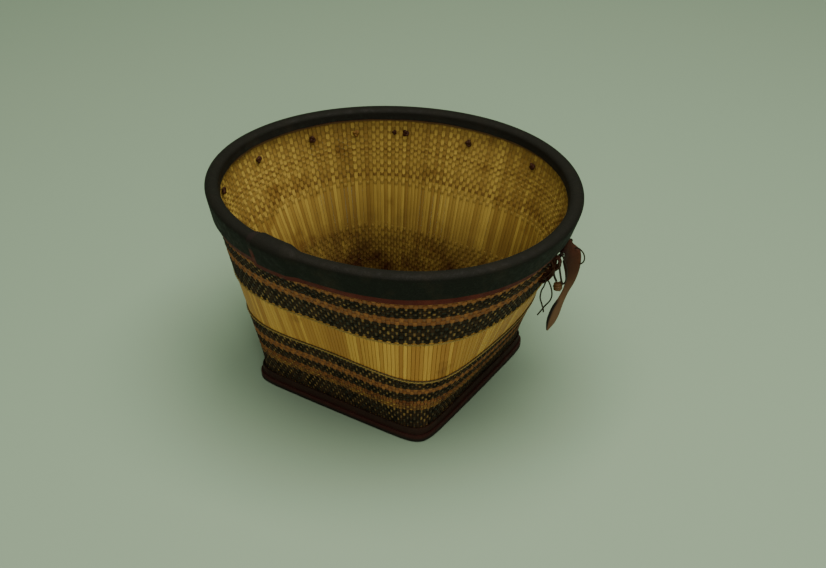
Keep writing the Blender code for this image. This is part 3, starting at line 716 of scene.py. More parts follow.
def knot_skin(direction, turned, size=1.0):
    """A tube on the trefoil (sin t + 2 sin 2t, cos t - 2 cos 2t, -sin 3t), pressed to the wall."""
    place, outward, sideways = wall_frame(math.radians(direction), TIE_HEIGHT, RIM_MIDDLE)
    turn = np.linspace(0, math.tau, TIE_POINTS, endpoint=False)[:, None]
    across = np.sin(turn) + 2 * np.sin(2 * turn)
    upward = np.cos(turn) - 2 * np.cos(2 * turn)
    mixed = across * math.cos(turned) + upward * math.sin(turned)
    raised = upward * math.cos(turned) - across * math.sin(turned)
    path = (place + mixed * sideways * TIE_ACROSS + raised * UP * TIE_UPWARD
            - (TIE_STANDOFF - TIE_DEPTH * np.sin(3 * turn)) * outward)
    return place + size * (tube(path, TIE_THONG_RADIUS, sides=8, closed=True) - place)


knots = [put_skins(f"thong_knot_{number:02d}", knot_skin(direction, number * TIE_TURN)[None], True,
                   f"rim_tie_{number:02d}")
         for number, direction in enumerate(TIE_DIRECTIONS, start=1)]
small_knot = put_skins("small_thong_knot", knot_skin(
    SECOND_KNOT_DIRECTION, SECOND_KNOT_TURN, SECOND_KNOT_SIZE)[None], True)

# %% [markdown]
# The strap and the thongs beside it hang from one thong that goes through the wall under
# the rim. The strap is a tongue of brown leather, doubled over that thong, that narrows,
# twists and ends in a pointed leaf. Its stations give its way out and up, its half width
# and its twist, and a smooth curve through them gives all rings between.

# %% The strap
THONG_DIAMETER = 0.0012
HANGER_DIRECTION = math.radians(12.6)
HANGER_HEIGHT = RED_RIM_LOW - 0.0032
STRAP_THICKNESS = 0.0016
STRAP_TOP_HALF_WIDTH = 0.0090
# Each station's way out, way up and half width in millimetres, and its twist in degrees
STRAP_STATIONS = (
    (4.4, -5.8, 8.4, 34), (5.4, -11.6, 7.5, 41), (5.6, -20.2, 5.6, 47),
    (4.5, -28.4, 3.8, 53), (1.8, -36.9, 2.6, 57), (-1.2, -45.3, 2.8, 59),
    (-4.0, -52.8, 3.7, 61), (-6.0, -59.7, 4.0, 63), (-8.3, -67.6, 3.3, 65),
    (-10.7, -75.6, 0.8, 67),
)
STRAP_RINGS = 90
STRAP_SIDES = 20
STRAP_EDGE_POWER = 0.55
STRAP_FACE_POWER = 0.7
STRAP_CURL = 0.10
STRAP_CURL_START = 0.012
STRAP_CURL_REACH = 0.02
STRAP_LEAST_HALF_WIDTH = 0.0005

hanger_place, hanger_out, hanger_side = wall_frame(HANGER_DIRECTION, HANGER_HEIGHT, 0.0)
hanger_axis = hanger_place + hanger_out * (THONG_DIAMETER / 2 + STRAP_THICKNESS + 3 * GAP)


def cubic(known, values, wanted):
    """A smooth curve through the values: cubic pieces with slopes from the neighbours."""
    slope = np.gradient(values, known)
    index = np.clip(np.searchsorted(known, wanted, side="right") - 1, 0, len(known) - 2)
    width = known[index + 1] - known[index]
    share = (wanted - known[index]) / width
    rest = 1 - share
    return (values[index] * rest ** 2 * (1 + 2 * share)
            + values[index + 1] * share ** 2 * (1 + 2 * rest)
            + width * share * rest * (slope[index] * rest - slope[index + 1] * share))


def signed_power(values, power):
    """Each value's size to a power, with its sign kept."""
    return np.sign(values) * np.abs(values) ** power


def strap_skin():
    """Rings of the strap: an oblong from powers of a cosine and a sine, curled a little."""
    hook = (THONG_DIAMETER / 2 + GAP + STRAP_THICKNESS / 2) / MM
    hooked = [(hook * math.cos(turn), hook * math.sin(turn), STRAP_TOP_HALF_WIDTH / MM, 0)
              for turn in np.radians(np.linspace(230, 0, 8))]
    stations = np.array([*hooked, *STRAP_STATIONS]) * [MM, MM, MM, 1]
    length = lengths_along(stations[:, :2])
    wanted = np.linspace(0, length[-1], STRAP_RINGS)
    out, up, half_width, twist = (cubic(length, column, wanted)[:, None] for column in stations.T)
    half_width = np.maximum(half_width, STRAP_LEAST_HALF_WIDTH)[..., None]
    centre = hanger_axis + out * hanger_out + up * UP
    twist = np.radians(twist)
    across = hanger_side * np.cos(twist) + hanger_out * np.sin(twist)
    along = unit(np.gradient(centre, axis=0))
    face = unit(np.cross(along, across))
    across = np.cross(face, along)
    turn = np.linspace(0, math.tau, STRAP_SIDES, endpoint=False)[:, None]
    wide = signed_power(np.cos(turn), STRAP_EDGE_POWER)
    deep = signed_power(np.sin(turn), STRAP_FACE_POWER)
    below_hook = np.clip((wanted - STRAP_CURL_START) / STRAP_CURL_REACH, 0, 1)[:, None, None]
    curl = STRAP_CURL * (wide ** 2 - 0.4) * half_width * below_hook
    return (centre[:, None] + across[:, None] * half_width * wide
            + face[:, None] * (STRAP_THICKNESS / 2 * deep - curl))


strap = put_skins("hanging_strap", strap_skin()[None], False, "strap_tongue", body="strap",
                  across=np.cos(np.linspace(0, math.tau, STRAP_SIDES, endpoint=False)),
                  down=np.linspace(0, 1, STRAP_RINGS)[:, None])

# %% [markdown]
# The thong that the strap hangs on goes out through the wall, along under the rim and in
# again. The loops beside the strap lie in upright planes, so their routes are written as
# pairs: millimetres out from the thong's line and up from it.

# %% The thongs that hang there
HANGER_REACHES = ((-1, 0.0150), (1, 0.0115))
HANGER_BEND = 0.0015
HANGER_BEND_CUT = 0.00044
HANGER_INSIDE = 0.0008
HANGER_POINTS = 70
LASHING_OFFSET = -0.0122
SIDE_LOOP_OFFSET = 0.0040
WHIPPING_RADIUS = 0.00115
WHIPPING_THICKNESS = 0.0010
WHIPPING_TURNS = 2.2
WHIPPING_POINTS = 60
SIDE_LOOP_ROUTE = ((5.7, -1.4), (8.0, -0.9), (10.4, -2.5), (12.3, -4.9),
                   (13.1, -8.1), (12.7, -11.0), (11.3, -13.1), (10.0, -13.9))
LASHING_LOOP_ROUTE = ((-0.9, -6.0), (-0.1, -12.7), (1.1, -19.1),
                      (2.2, -22.8), (3.6, -22.6), (4.9, -18.9),
                      (5.0, -11.1), (3.4, -4.8))
SMALL_LOOP_ROUTE = ((-2.1, -7.5), (-3.6, -11.0), (-4.4, -15.7),
                    (-3.6, -19.2), (-2.2, -22.2))
OVER_REACH = (THONG_DIAMETER + GAP) / MM
OVER_HANGER = [(OVER_REACH * math.cos(turn), OVER_REACH * math.sin(turn))
               for turn in np.linspace(0, math.pi, 5)]


def beside_hanger(route, offset):
    """Points given in millimetres out and up, in an upright plane beside the strap's middle."""
    route = np.asarray(route) * MM
    return hanger_axis + route[:, :1] * hanger_out + offset * hanger_side + route[:, 1:] * UP


def hanger_skin():
    """A tube whose route turns into the wall at each end by a small cut corner."""
    points = []
    for side, reach in HANGER_REACHES:
        corner = hanger_axis + hanger_side * side * reach
        angle = HANGER_DIRECTION + side * reach / MOUTH_HALF_WIDTH
        depth = (hanger_axis - wall(angle, HANGER_HEIGHT, 0.0)) @ hanger_out
        inwards = [corner - hanger_out * inward - hanger_side * side * back
                   for inward, back in ((depth + HANGER_INSIDE, 0.0), (HANGER_BEND, 0.0),
                                        (HANGER_BEND_CUT, HANGER_BEND_CUT), (0.0, HANGER_BEND))]
        points.extend(inwards if side < 0 else reversed(inwards))
    return tube(smooth_route(points, HANGER_POINTS), THONG_DIAMETER / 2)


def whipping_skin(start, end):
    """A coil round the hanger's middle line: a helix from one place beside the strap to another."""
    turn = np.linspace(0, math.tau * WHIPPING_TURNS, WHIPPING_POINTS)[:, None]
    beside = hanger_side * np.linspace(start, end, WHIPPING_POINTS)[:, None]
    round_it = hanger_out * np.cos(turn) + UP * np.sin(turn)
    path = hanger_axis + beside + WHIPPING_RADIUS * round_it
    return tube(path, WHIPPING_THICKNESS / 2, sides=8)


for name, node, body, route, offset, count, thickness, flat, twist in (
        ("strap_ring", "strap_side_loop", "strap", SIDE_LOOP_ROUTE, SIDE_LOOP_OFFSET,
         40, 1.0, 0.85, 0.1),
        ("lashing_thong", "lashing_loop", "lashing", (*OVER_HANGER, *LASHING_LOOP_ROUTE),
         LASHING_OFFSET, 80, 1.6, 0.6, 0.0),
        ("lashing_side_thong", "lashing_small_loop", "lashing", SMALL_LOOP_ROUTE, LASHING_OFFSET,
         36, 1.4, 0.7, 0.0)):
    closed = node == "lashing_loop"
    path = smooth_route(beside_hanger(route, offset), count, closed)
    skin = tube(path, THONG_DIAMETER / 2 * thickness, closed=closed, flat=flat, twist=twist)
    thongs.append(put_skins(name, skin[None], closed, node, body=body))
thongs.append(put_skins("through_thong", hanger_skin()[None], False, "strap_hanger"))
thongs.append(put_skins("thong_whipping", np.stack([
    whipping_skin(-0.0110, -0.0098), whipping_skin(0.0098, 0.0110)])))

# %% [markdown]
# Where the thong goes into the wall beside the strap, it was sewn through several times.
# These stitches lie over each other in an untidy bundle, and the two loose tails come out
# at its lower end. Each stitch is a thong that leaves the wall, bows out and goes in again.

# %% The stitches beside the strap
STITCH_RADIUS = THONG_DIAMETER * 0.75
STITCH_DEPTH = 0.0012
STITCH_WANDER = 0.0006
STITCH_WAVE = 9
STITCH_WAVE_DRIFT = 4000
STITCH_POINTS = 22
# In millimetres: sideways and up to the upper hole, the same to the lower hole, the bow
STITCHES = (
    (-18.5, 144.0, -16.0, 122.5, 1.7), (-15.0, 144.5, -19.0, 125.0, 2.3),
    (-20.0, 142.0, -15.0, 123.2, 3.5), (-17.2, 145.0, -17.6, 120.5, 2.7),
    (-16.2, 143.0, -20.4, 124.2, 4.4), (-19.2, 140.0, -16.4, 121.8, 5.2),
    (-18.0, 139.0, -18.2, 119.0, 6.1), (-16.6, 141.2, -16.8, 118.0, 4.6),
    (-16.0, 145.2, -15.7, 133.5, 6.6), (-17.4, 145.0, -16.0, 129.0, 7.6),
    (-15.8, 144.8, -16.7, 126.2, 5.8), (-18.8, 145.0, -17.2, 131.0, 7.0),
)


def stitch_skin(side_top, top, side_low, low, bow):
    """A tube from one hole to the other, which bows out by the cube root of a sine."""
    share = np.linspace(0, 1, STITCH_POINTS)
    sideways = side_top + (side_low - side_top) * share
    sideways = sideways + STITCH_WANDER * np.sin(share * STITCH_WAVE + top * STITCH_WAVE_DRIFT)
    angle = HANGER_DIRECTION + sideways / MOUTH_HALF_WIDTH
    out = (bow + STITCH_DEPTH) * np.sin(math.pi * share) ** (1 / 3) - STITCH_DEPTH
    path = wall(angle, top + (low - top) * share, out)
    return tube(path, STITCH_RADIUS, sides=8, flat=0.7, twist=0.15)


stitches = put_skins("wall_stitches", np.stack([
    stitch_skin(*stitch) for stitch in np.array(STITCHES) * MM]))

# %% [markdown]
# The lashing's loops end in one thick knot, a thong wound three times round itself. A coil
# whose middle turns are the widest has the look of it.

# %% The lashing's knot
KNOT_PLACE = (-1.0, -26.3)
KNOT_RADIUS = 0.0023
KNOT_HALF_HEIGHT = 0.0029
KNOT_THONG_RADIUS = 0.00115
KNOT_TURNS = 3.2
KNOT_SWELL = (1.05, 0.75)
KNOT_POINTS = 110


def wrapped_knot(centre):
    """Coils of thong wound round a core: a tube on a squat helix that swells at its middle."""
    rise = np.linspace(-1, 1, KNOT_POINTS)
    turn = math.tau * KNOT_TURNS * (rise + 1) / 2
    swell = KNOT_RADIUS * np.sqrt(KNOT_SWELL[0] - KNOT_SWELL[1] * rise ** 2)
    path = np.stack([swell * np.cos(turn), swell * np.sin(turn), KNOT_HALF_HEIGHT * rise], -1)
    return tube(centre + path, KNOT_THONG_RADIUS)


lashing_knot = put_skins(
    "lashing_knot_wraps", wrapped_knot(beside_hanger((KNOT_PLACE,), LASHING_OFFSET)[0])[None],
    False, "lashing_knot", body="lashing")

# %% [markdown]
# Materials. Colours are written as sRGB hex values, as a paint chart gives them, and one
# function turns them to the linear values that a shader needs. One small function adds a
# node, gives it its settings, joins its inputs and hands back the output that is wanted.
# A new material hands it on as add, tied to the material's own tree.
# An input called i0 or i7 is given by its number, for nodes whose inputs share a name.

# %% Colours and nodes
def linear(colour):
    """sRGB hex to linear red, green, blue and alpha: each part is raised to the power 2.4."""
    parts = [int(colour[start:start + 2], 16) / 255 for start in (1, 3, 5)]
    bright = [part / 12.92 if part <= 0.04045 else ((part + 0.055) / 1.055) ** 2.4
              for part in parts]
    return (*bright, 1.0)


def join(node, **inputs):
    """Sets a node's inputs, each to a number, a hex colour or another node's output.

    The node's id_data is the tree that holds it.
    """
    for name, value in inputs.items():
        socket = node.inputs[int(name[1:]) if name[1:].isdigit() else name.replace("_", " ")]
        if isinstance(value, bpy.types.NodeSocket):
            node.id_data.links.new(value, socket)
        else:
            socket.default_value = linear(value) if isinstance(value, str) else value


def add_node(tree, kind, output=0, settings=(), **inputs):
    """Adds a node with its own settings and its inputs, and returns the output named."""
    made = tree.nodes.new("ShaderNode" + kind)
    for name, value in dict(settings).items():
        setattr(made, name, value)
    join(made, **inputs)
    return made.outputs[output]


def new_material(name):
    """A new material, the function that adds a node to it, and its Principled shader."""
    material = bpy.data.materials.new(name)
    material.use_nodes = True
    tree = material.node_tree
    return material, partial(add_node, tree), tree.nodes["Principled BSDF"]


def cells(size_mm):
    """The scale of a noise on metres whose blotches are this many millimetres apart."""
    return 1000.0 / size_mm


COLOURS = dict(data_type="RGBA")
MULTIPLY = dict(operation="MULTIPLY")
CLAMPED = dict(operation="MULTIPLY", use_clamp=True)
CLOUDY = dict(Detail=3.0, Roughness=0.6)
print("Middle grey #808080 is", round(linear("#808080")[0], 3), "in linear light")

# %% [markdown]
# Split ash. A splint is torn from the log along its growth rings and scraped, not planed.
# To the eye that gives fine lines the whole length of the strip, a silky sheen without
# gloss, and a tone of its own for each strip, from straw to honey brown. The UV map
# measures millimetres along and across each strip, so a noise that is fifty times longer
# than it is wide draws the lines. Real fibres are about a tenth of a millimetre wide. They
# are drawn three times coarser here, because finer ones would not show.

# %% Splint wood
FIBRE_LENGTH_MM = 16.7
FIBRE_WIDTH_MM = 0.31
STAIN_MM = 26.0
SPLINT_SHEEN = 0.3
FIBRE_DEPTH = 0.0002
FIBRE_STARTS_APART = 97.0


def splint_material(name, light, dark, stain, stain_share, grain=0.55, roughness=0.55,
                    gloss=SPLINT_SHEEN, over=None):
    """Split wood: a tone for each strip, lines along it and brown stains that cross strips."""
    material, add, shader = new_material(name)
    strip = add("UVMap", settings=dict(uv_map="strip"))
    scale = (1 / FIBRE_LENGTH_MM, 1 / FIBRE_WIDTH_MM, 1.0)
    tone = add("Attribute", "Fac", dict(attribute_name="tone"))
    apart = add("CombineXYZ", Z=add("Math", 0, MULTIPLY, i0=tone, i1=FIBRE_STARTS_APART))
    lines = add("VectorMath", 0, dict(operation="ADD"),
                i0=add("Mapping", Vector=strip, Scale=scale), i1=apart)
    fibres = add("TexNoise", "Fac", Vector=lines, Scale=1.0, Detail=4.0, Roughness=0.6)
    place = add("TexCoord", "Object")
    cloud = add("TexNoise", "Fac", Vector=place, Scale=cells(STAIN_MM),
                Detail=3.0, Roughness=0.55)
    base = add("Mix", 2, COLOURS, i0=tone, i6=dark, i7=light)
    dim = add("MapRange", i0=fibres, i1=0.40, i2=0.70, i4=grain)
    lined = add("Mix", 2, COLOURS, i0=dim, i6=base, i7=dark)
    stained = add("MapRange", i0=cloud, i1=0.62 - stain_share, i2=0.80 - stain_share, i4=0.8)
    colour = add("Mix", 2, COLOURS, i0=stained, i6=lined, i7=stain)
    if over:
        colour = over(add, colour, place)
    bump = add("Bump", Height=fibres, Strength=0.5, Distance=FIBRE_DEPTH)
    join(shader, Base_Color=colour, Normal=bump, Roughness=roughness, Specular_IOR_Level=gloss)
    return material


pale_twine = splint_material("pale_bast_twine", "#a8904a", "#7d6730", "#6f5426", 0.0)
shadow_line_twine = splint_material("painted_shadow_twine", "#5a4520", "#3d2e14", "#2a1e0d", 0.0)
hoop_wood = splint_material("bent_ash_hoop", "#7a6238", "#5c4726", "#46341a", 0.05)
print("A fibre line is", FIBRE_WIDTH_MM, "mm wide and", FIBRE_LENGTH_MM, "mm long")

# %% [markdown]
# The bands were painted on the finished weave, from outside. So the paint also lies on
# the uprights where they come to the front. It is thick at their edges and thin on their
# middles, where hands have rubbed it off and the grey-brown of old wood shows. In some
# places, a centimetre or so across, the brush covered everything. A ramp with hard steps
# gives each height its paint, and a second one says how well that paint has held.

# %% The paint on the uprights
RUBBED_WOOD = "#76603c"
SEAM_SHADE = "#3a240c"
PAINTS = {
    "black": ("#24221a", 0.56), "solid": ("#211e17", 1.0), "brown": ("#764b2a", 0.95),
    "red_brown": ("#4e2914", 0.55), "tan": ("#573b1e", 0.35), None: (RUBBED_WOOD, 0.0),
}
SOLID_PAINT_HEIGHT = 0.0036
PAINT_STEPS = sorted([
    (BAND_LEVELS[band][0] + SOLID_PAINT_HEIGHT * (band == "lower_black_weft"), dye)
    for band, height, count, dye in BANDS] + [(FOOT_HEIGHT, "solid")])
BRUSH_MARK_MM = 11.0


def painted_bands(add, wood, place):
    """Lays paint over wood; its amount is hold times edge thickness times a patchy noise."""
    level, edge = (add("Attribute", "Fac", dict(attribute_name=name)) for name in ("level", "edge"))
    share = add("Math", 0, MULTIPLY, i0=level, i1=MM / WALL_TOP)
    ramps = []
    for colours in ([linear(PAINTS[paint][0]) for low, paint in PAINT_STEPS],
                    [(PAINTS[paint][1],) * 3 + (1.0,) for low, paint in PAINT_STEPS]):
        ramps.append(add("ValToRGB", Fac=share))
        ramp = ramps[-1].node.color_ramp
        ramp.interpolation = "CONSTANT"
        while len(ramp.elements) < len(PAINT_STEPS):
            ramp.elements.new(0.5)
        for point, (low, paint), colour in zip(ramp.elements, PAINT_STEPS, colours):
            point.position, point.color = low / WALL_TOP, colour
    paint, hold = ramps
    patches = add("TexNoise", "Fac", Vector=place, Scale=cells(BRUSH_MARK_MM), **CLOUDY)
    patchy = add("MapRange", i0=patches, i1=0.42, i2=0.64, i3=0.70, i4=2.3)
    thick = add("MapRange", i0=edge, i1=0.30, i2=0.62, i3=0.8, i4=2.2)
    amount = add("Math", 0, MULTIPLY, i0=patchy, i1=thick)
    amount = add("Math", 0, CLAMPED, i0=amount, i1=hold)
    # The uprights' bevelled edges, which face into the gaps between them, get painted shade.
    gap_shade = add("MapRange", i0=edge, i1=0.85, i4=0.4)
    rubbed = add("Math", 0, MULTIPLY, i0=hold, i1=0.9)
    for share, colour in ((gap_shade, SEAM_SHADE), (rubbed, RUBBED_WOOD), (amount, paint)):
        wood = add("Mix", 2, COLOURS, i0=share, i6=wood, i7=colour)
    return wood


gold_outside = splint_material("split_ash_gold", "#dbae50", "#ad7b35", "#7c4f1e", -0.05,
                               grain=0.6, over=painted_bands)
print("The uprights carry", len(PAINT_STEPS), "steps of paint over", len(BANDS), "bands")

# %% [markdown]
# Inside, nothing was painted. The wood is drawn darker and browner towards the bottom,
# unevenly, as painted shade where the walls keep out the light, and the splints' edges, which
# face into the gaps between them, get painted shade too. That gives the inside a gold rim of
# light above and a brown shade below. The wefts are
# dyed only where they come outside: an attribute tells the two faces apart. The dye has
# soaked in unevenly, so it is mottled and quite dull.

# %% The woods and the dyes
INSIDE_SHADE_MM = 18.0
INSIDE_SHADE_FROM_MM = 102.0
INSIDE_SHADE_MOST_MM = 36.0
INSIDE_SHADE_COLOUR = "#3a1f0e"
INSIDE_GAP_SHADE = "#33200a"
DYE_MM = 7.0
DYE_GLOSS = 0.10


def shaded_inside(add, wood, place):
    """Painted shade: dark brown over the wood from the waist down, unevenly, and along the seams.
    """
    level, edge = (add("Attribute", "Fac", dict(attribute_name=name)) for name in ("level", "edge"))
    cloud = add("TexNoise", "Fac", Vector=place, Scale=cells(INSIDE_SHADE_MM), **CLOUDY)
    depth = add("MapRange", i0=level, i1=INSIDE_SHADE_FROM_MM, i2=INSIDE_SHADE_MOST_MM, i4=0.92)
    patchy = add("MapRange", i0=cloud, i1=0.35, i2=0.65, i3=0.65, i4=1.1)
    amount = add("Math", 0, CLAMPED, i0=depth, i1=patchy)
    # The splints' edges, which face into the gaps between them, get painted shade.
    gap_shade = add("MapRange", i0=edge, i1=0.84, i4=0.75)
    shaded = add("Mix", 2, COLOURS, i0=amount, i6=wood, i7=INSIDE_SHADE_COLOUR)
    return add("Mix", 2, COLOURS, i0=gap_shade, i6=shaded, i7=INSIDE_GAP_SHADE)


def weft_material(name, light, dark):
    """Undyed weft wood, with two tones of dye mixed by a mottled noise over what lies outside."""
    def dyed_outside(add, wood, place):
        outside = add("Attribute", "Fac", dict(attribute_name="outside"))
        cloud = add("TexNoise", "Fac", Vector=place, Scale=cells(DYE_MM), **CLOUDY)
        mottle = add("MapRange", i0=cloud, i1=0.38, i2=0.62)
        dye = add("Mix", 2, COLOURS, i0=mottle, i6=dark, i7=light)
        share = add("MapRange", i0=outside, i1=0.10, i2=0.35)
        shaded = shaded_inside(add, wood, place)
        return add("Mix", 2, COLOURS, i0=share, i6=shaded, i7=dye)
    return splint_material(name, "#a68f48", "#755c2e", "#5b4019", 0.08, 0.3, 0.65, DYE_GLOSS,
                           dyed_outside)


gold_inside = splint_material("split_ash_gold_inner", "#bfa64e", "#8f7334", "#6d4a1c", 0.06,
                              over=shaded_inside)
# The bottom's splints take a darker wood than the walls' inside: painted shade on the basket's
# floor.
floor_wood = splint_material("split_ash_floor", "#7a5f26", "#4d3916", "#33210d", 0.08)
WEFT_FINISHES = {
    "black": weft_material("painted_ash_black", "#3b2c1d", "#1a140d"),
    "brown": weft_material("painted_ash_orange_brown", "#9b693c", "#7b4e2c"),
    "red_brown": weft_material("painted_ash_red_brown", "#885932", "#673f24"),
    "tan": weft_material("painted_ash_tan", "#855e32", "#4c3322"),
}
print("Dyes:", list(WEFT_FINISHES))

# %% [markdown]
# Leather. Tanned hide has a pebbled grain, creases where it bends, and patches that hands
# have worn smooth. To the eye the black one is nearly matt, with a green-grey bloom in the
# grain. The red-brown ones are warmer and paler where they are rubbed. A cell pattern
# gives the pebbles, a slow noise the worn patches and a quicker one the bloom. A cell's
# value is the distance from its middle, so the bump is turned over to raise the middle.
# The pebbles of a thin hide are about 0.4 mm. They are drawn about twice as big, to show.

# %% Leather
PEBBLE_MM = 0.9
THONG_PEBBLE_MM = 0.6
PEBBLE_DEPTH = 0.00025
WORN_MM = 17.0
BLOOM_MM = 4.8


def leather_material(name, colour, worn, bloom, bloom_share, pebble_mm=PEBBLE_MM,
                     roughness=0.6, gloss=0.18, over=None):
    """Leather: a colour, worn patches of a second one and a bloom of a third."""
    material, add, shader = new_material(name)
    place = add("TexCoord", "Object")
    pebbles = add("TexVoronoi", "Distance", Vector=place, Scale=cells(pebble_mm))
    slow = add("TexNoise", "Fac", Vector=place, Scale=cells(WORN_MM),
               Detail=5.0, Roughness=0.6)
    quick = add("TexNoise", "Fac", Vector=place, Scale=cells(BLOOM_MM),
                Detail=4.0, Roughness=0.65)
    rubbed = add("MapRange", i0=slow, i1=0.50, i2=0.72, i4=0.7)
    toned = add("Mix", 2, COLOURS, i0=rubbed, i6=colour, i7=worn)
    bloomed = add("MapRange", i0=quick, i1=0.62 - bloom_share, i2=0.80 - bloom_share, i4=0.8)
    toned = add("Mix", 2, COLOURS, i0=bloomed, i6=toned, i7=bloom)
    if over:
        toned = over(add, toned)
    rough = add("MapRange", i0=quick, i1=0.35, i2=0.7, i3=roughness - 0.08, i4=roughness + 0.2)
    height = add("Math", 0, dict(operation="MULTIPLY_ADD"), i0=quick, i1=1.5, i2=pebbles)
    bump = add("Bump", 0, dict(invert=True), Height=height, Strength=0.6,
               Distance=PEBBLE_DEPTH)
    join(shader, Base_Color=toned, Roughness=rough, Normal=bump, Specular_IOR_Level=gloss)
    return material


def dirt_and_shade_between(low, high, colour, share=1.0):
    """A colour over leather, from none of it at one height to its share at another, in metres."""
    def layer(add, leather):
        height = add("SeparateXYZ", "Z", Vector=add("TexCoord", "Object"))
        amount = add("MapRange", i0=height, i1=low, i2=high, i4=share)
        return add("Mix", 2, COLOURS, i0=amount, i6=leather, i7=colour)
    return layer


# The crown of the rim is darker, as painted shade against the light from above, and the end of
# the red leather is dark where hands held it. The foot's leather is darker towards the ground.
black_leather = leather_material(
    "tanned_hide_black", "#161712", "#29241a", "#222a20", 0.07, roughness=0.66, gloss=0.15,
    over=dirt_and_shade_between(0.1655, 0.1715, "#14130d", 0.75))
red_leather = leather_material(
    "tanned_hide_red_brown", "#501c15", "#66291d", "#3a150e", 0.02,
    over=dirt_and_shade_between(0.1620, 0.1655, "#1b1411"))
dark_red_leather = leather_material("tanned_hide_dark_brown", "#2b1b15", "#3f2117", "#1d130f", 0.05)
scuffed_leather = leather_material(
    "tanned_hide_scuffed", "#351a16", "#45221c", "#241915", 0.06,
    over=dirt_and_shade_between(0.0040, 0.0026, "#1c1914"))
print("Leathers with pebbles of", PEBBLE_MM, "mm")

# %% [markdown]
# The strap and the thongs are softer hide. The strap's upper end is deep red-brown and darker
# near the top, most towards its left edge, and its lower end is bleached by light. The left edge
# of its lower leaf is nearly black, as painted shade where that edge curls away. The thongs were
# rolled and greased, so they are dark and a little glossy, and the knotted one is paler.

# %% The strap's and the thongs' leather
def strap_wear(add, leather):
    """Paler towards the tip, painted shade on the left edge there, and darker near the top."""
    down, across = (add("Attribute", "Fac", dict(attribute_name=name))
                    for name in ("down", "across"))
    paler = add("MapRange", i0=down, i1=0.30, i2=0.62, i4=0.55)
    # Painted shade: the lower leaf's left edge, where it curls away, is made nearly black.
    left = add("MapRange", i0=across, i1=-0.15, i2=-0.45)
    low = add("MapRange", i0=down, i1=0.60, i2=0.68)
    edge = add("Math", 0, MULTIPLY, i0=left, i1=low)
    upper = add("MapRange", i0=down, i1=0.46, i2=0.18, i4=0.85)
    leftward = add("MapRange", i0=across, i1=0.7, i2=-0.7)
    darker_top = add("Math", 0, MULTIPLY, i0=upper, i1=leftward)
    for share, colour in ((paler, "#86674c"), (edge, "#191513"), (darker_top, "#1d0f0c")):
        leather = add("Mix", 2, COLOURS, i0=share, i6=leather, i7=colour)
    return leather


strap_leather = leather_material("tanned_hide_brown", "#4a2b1a", "#5c3a25", "#2c1a12", 0.03,
                                 roughness=0.55, over=strap_wear)
thong_leather, stitch_leather, pale_knot_leather, knot_leather = [
    leather_material(name, colour, worn, bloom, 0.05, THONG_PEBBLE_MM, rough)
    for name, colour, worn, bloom, rough in (
        ("rolled_hide_dark", "#2a2117", "#3c2a1c", "#17130d", 0.5),
        ("rolled_hide_red_brown", "#3a2012", "#4f2d1a", "#22120a", 0.5),
        ("rolled_hide_pale", "#7a5a2a", "#8f6d36", "#5d431f", 0.6),
        ("rolled_hide_brown", "#5f4325", "#83633a", "#3a2814", 0.4))]
print("Thongs with pebbles of", THONG_PEBBLE_MM, "mm")

# %% [markdown]
# The finishes go on. An upright has two, the painted one outside and the bare one inside.
# A weft needs only one, as its attribute tells the dyed face from the undyed one. One of the
# knots inside the rim is of a paler thong than the others.

# %% Putting the finishes on
def dress(piece, slot, *materials):
    """Gives a piece its materials. The slot is not used."""
    for material in materials:
        piece.data.materials.append(material)


PALE_KNOT = 4
for band, height, count, dye in BANDS:
    if dye:
        dress(weaving[band], dye + "_weft", WEFT_FINISHES[dye])
for piece in uprights:
    dress(piece, "gold_splint", gold_outside, gold_inside)
pale_knot = knots.pop(PALE_KNOT)
for pieces, slot, finish in (
        (bottom, "gold_splint", floor_wood), ((waist, shoulder), "pale_twine", pale_twine),
        ([waist_shadow_line], "pale_twine", shadow_line_twine), ([black_rim], "black_leather", black_leather),
        ([black_foot], "black_leather", scuffed_leather), ([red_rim], "red_leather", red_leather),
        ([red_foot], "red_leather", dark_red_leather), ([strap], "brown_leather", strap_leather),
        ([lashing_knot], "brown_leather", knot_leather), (thongs, "dark_thong", thong_leather),
        ([pale_knot], "dark_thong", pale_knot_leather),
        ([*knots, small_knot, stitches], "dark_thong", stitch_leather)):
    for piece in pieces:
        dress(piece, slot, finish)
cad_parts["rim_hoop"].material_slots[0].material = hoop_wood

# %% [markdown]
# The set: a pale grey-green sheet that curves up behind, one large soft light overhead, a
# smaller one in front and a weak sky, so that the shadows are short and soft.

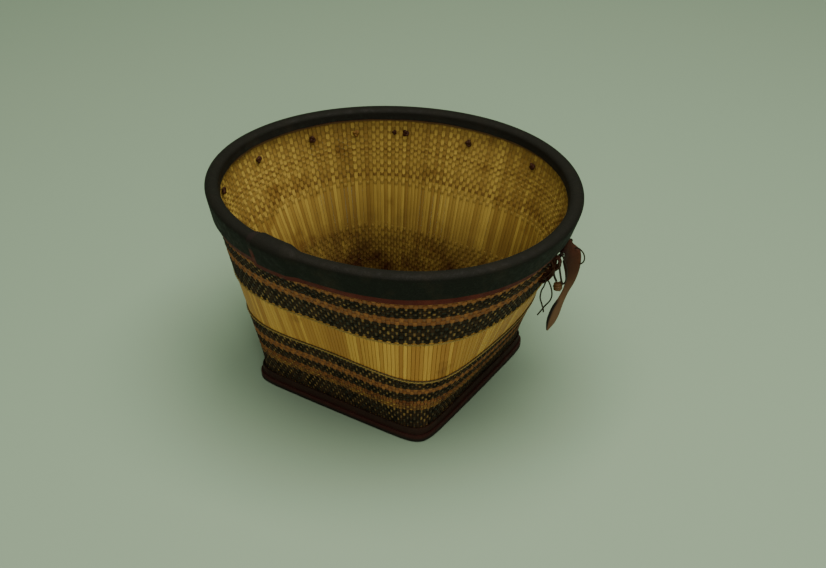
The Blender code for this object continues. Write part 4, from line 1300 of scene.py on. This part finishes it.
# %% Floor and light
FLOOR_REACH = 12.0
SWEEP_HEIGHT = 3.0
SWEEP_RADIUS = 0.8
SWEEP_BEHIND = 1.1
LIGHT_AIM = UP * 0.08
LIGHT_COLOUR = "#fffaee"


def sweep():
    """A floor that turns up behind in a quarter circle: a profile pulled sideways."""
    turn = np.linspace(0, math.pi / 2, 16)
    away = np.array([-FLOOR_REACH, *(SWEEP_RADIUS * np.sin(turn)), SWEEP_RADIUS]) + SWEEP_BEHIND
    up = np.array([0, *(SWEEP_RADIUS * (1 - np.cos(turn))), SWEEP_HEIGHT])
    profile = np.outer(away, np.cross(UP, CAMERA_RIGHT)) + np.outer(up, UP)
    points = profile[:, None] + np.outer([-FLOOR_REACH, FLOOR_REACH], CAMERA_RIGHT)
    mesh = bpy.data.meshes.new("backdrop")
    mesh.from_pydata(points.reshape(-1, 3).tolist(), [], [
        (first, first + 1, first + 3, first + 2) for first in range(0, 2 * len(up) - 2, 2)])
    mesh.shade_smooth()
    piece = bpy.data.objects.new("backdrop", mesh)
    bpy.context.scene.collection.objects.link(piece)
    return piece


backdrop = sweep()
paper, _, paper_shader = new_material("matt_paper")
join(paper_shader, Base_Color="#92ab93", Roughness=0.9)
backdrop.data.materials.append(paper)

for name, azimuth, elevation, distance, size, power in (
        ("overhead_soft_light", 60, 82, 1.5, 1.10, 23.5),
        ("front_soft_light", 4, 34, 1.8, 0.60, 8.8)):
    lamp = bpy.data.lights.new(name, "AREA")
    lamp.shape, lamp.size, lamp.energy = "SQUARE", size, power
    lamp.color = linear(LIGHT_COLOUR)[:3]
    put_looking(bpy.data.objects.new(name, lamp), LIGHT_AIM,
                CAMERA_AZIMUTH + math.radians(azimuth), math.radians(elevation), distance)
world = bpy.data.worlds.new("soft_sky")
world.use_nodes = True
join(world.node_tree.nodes["Background"], Color="#e9e7d6", Strength=0.37)
bpy.context.scene.world = world
lights = [thing.name for thing in bpy.context.scene.objects if thing.type == "LIGHT"]
print("The set is lit by", lights)
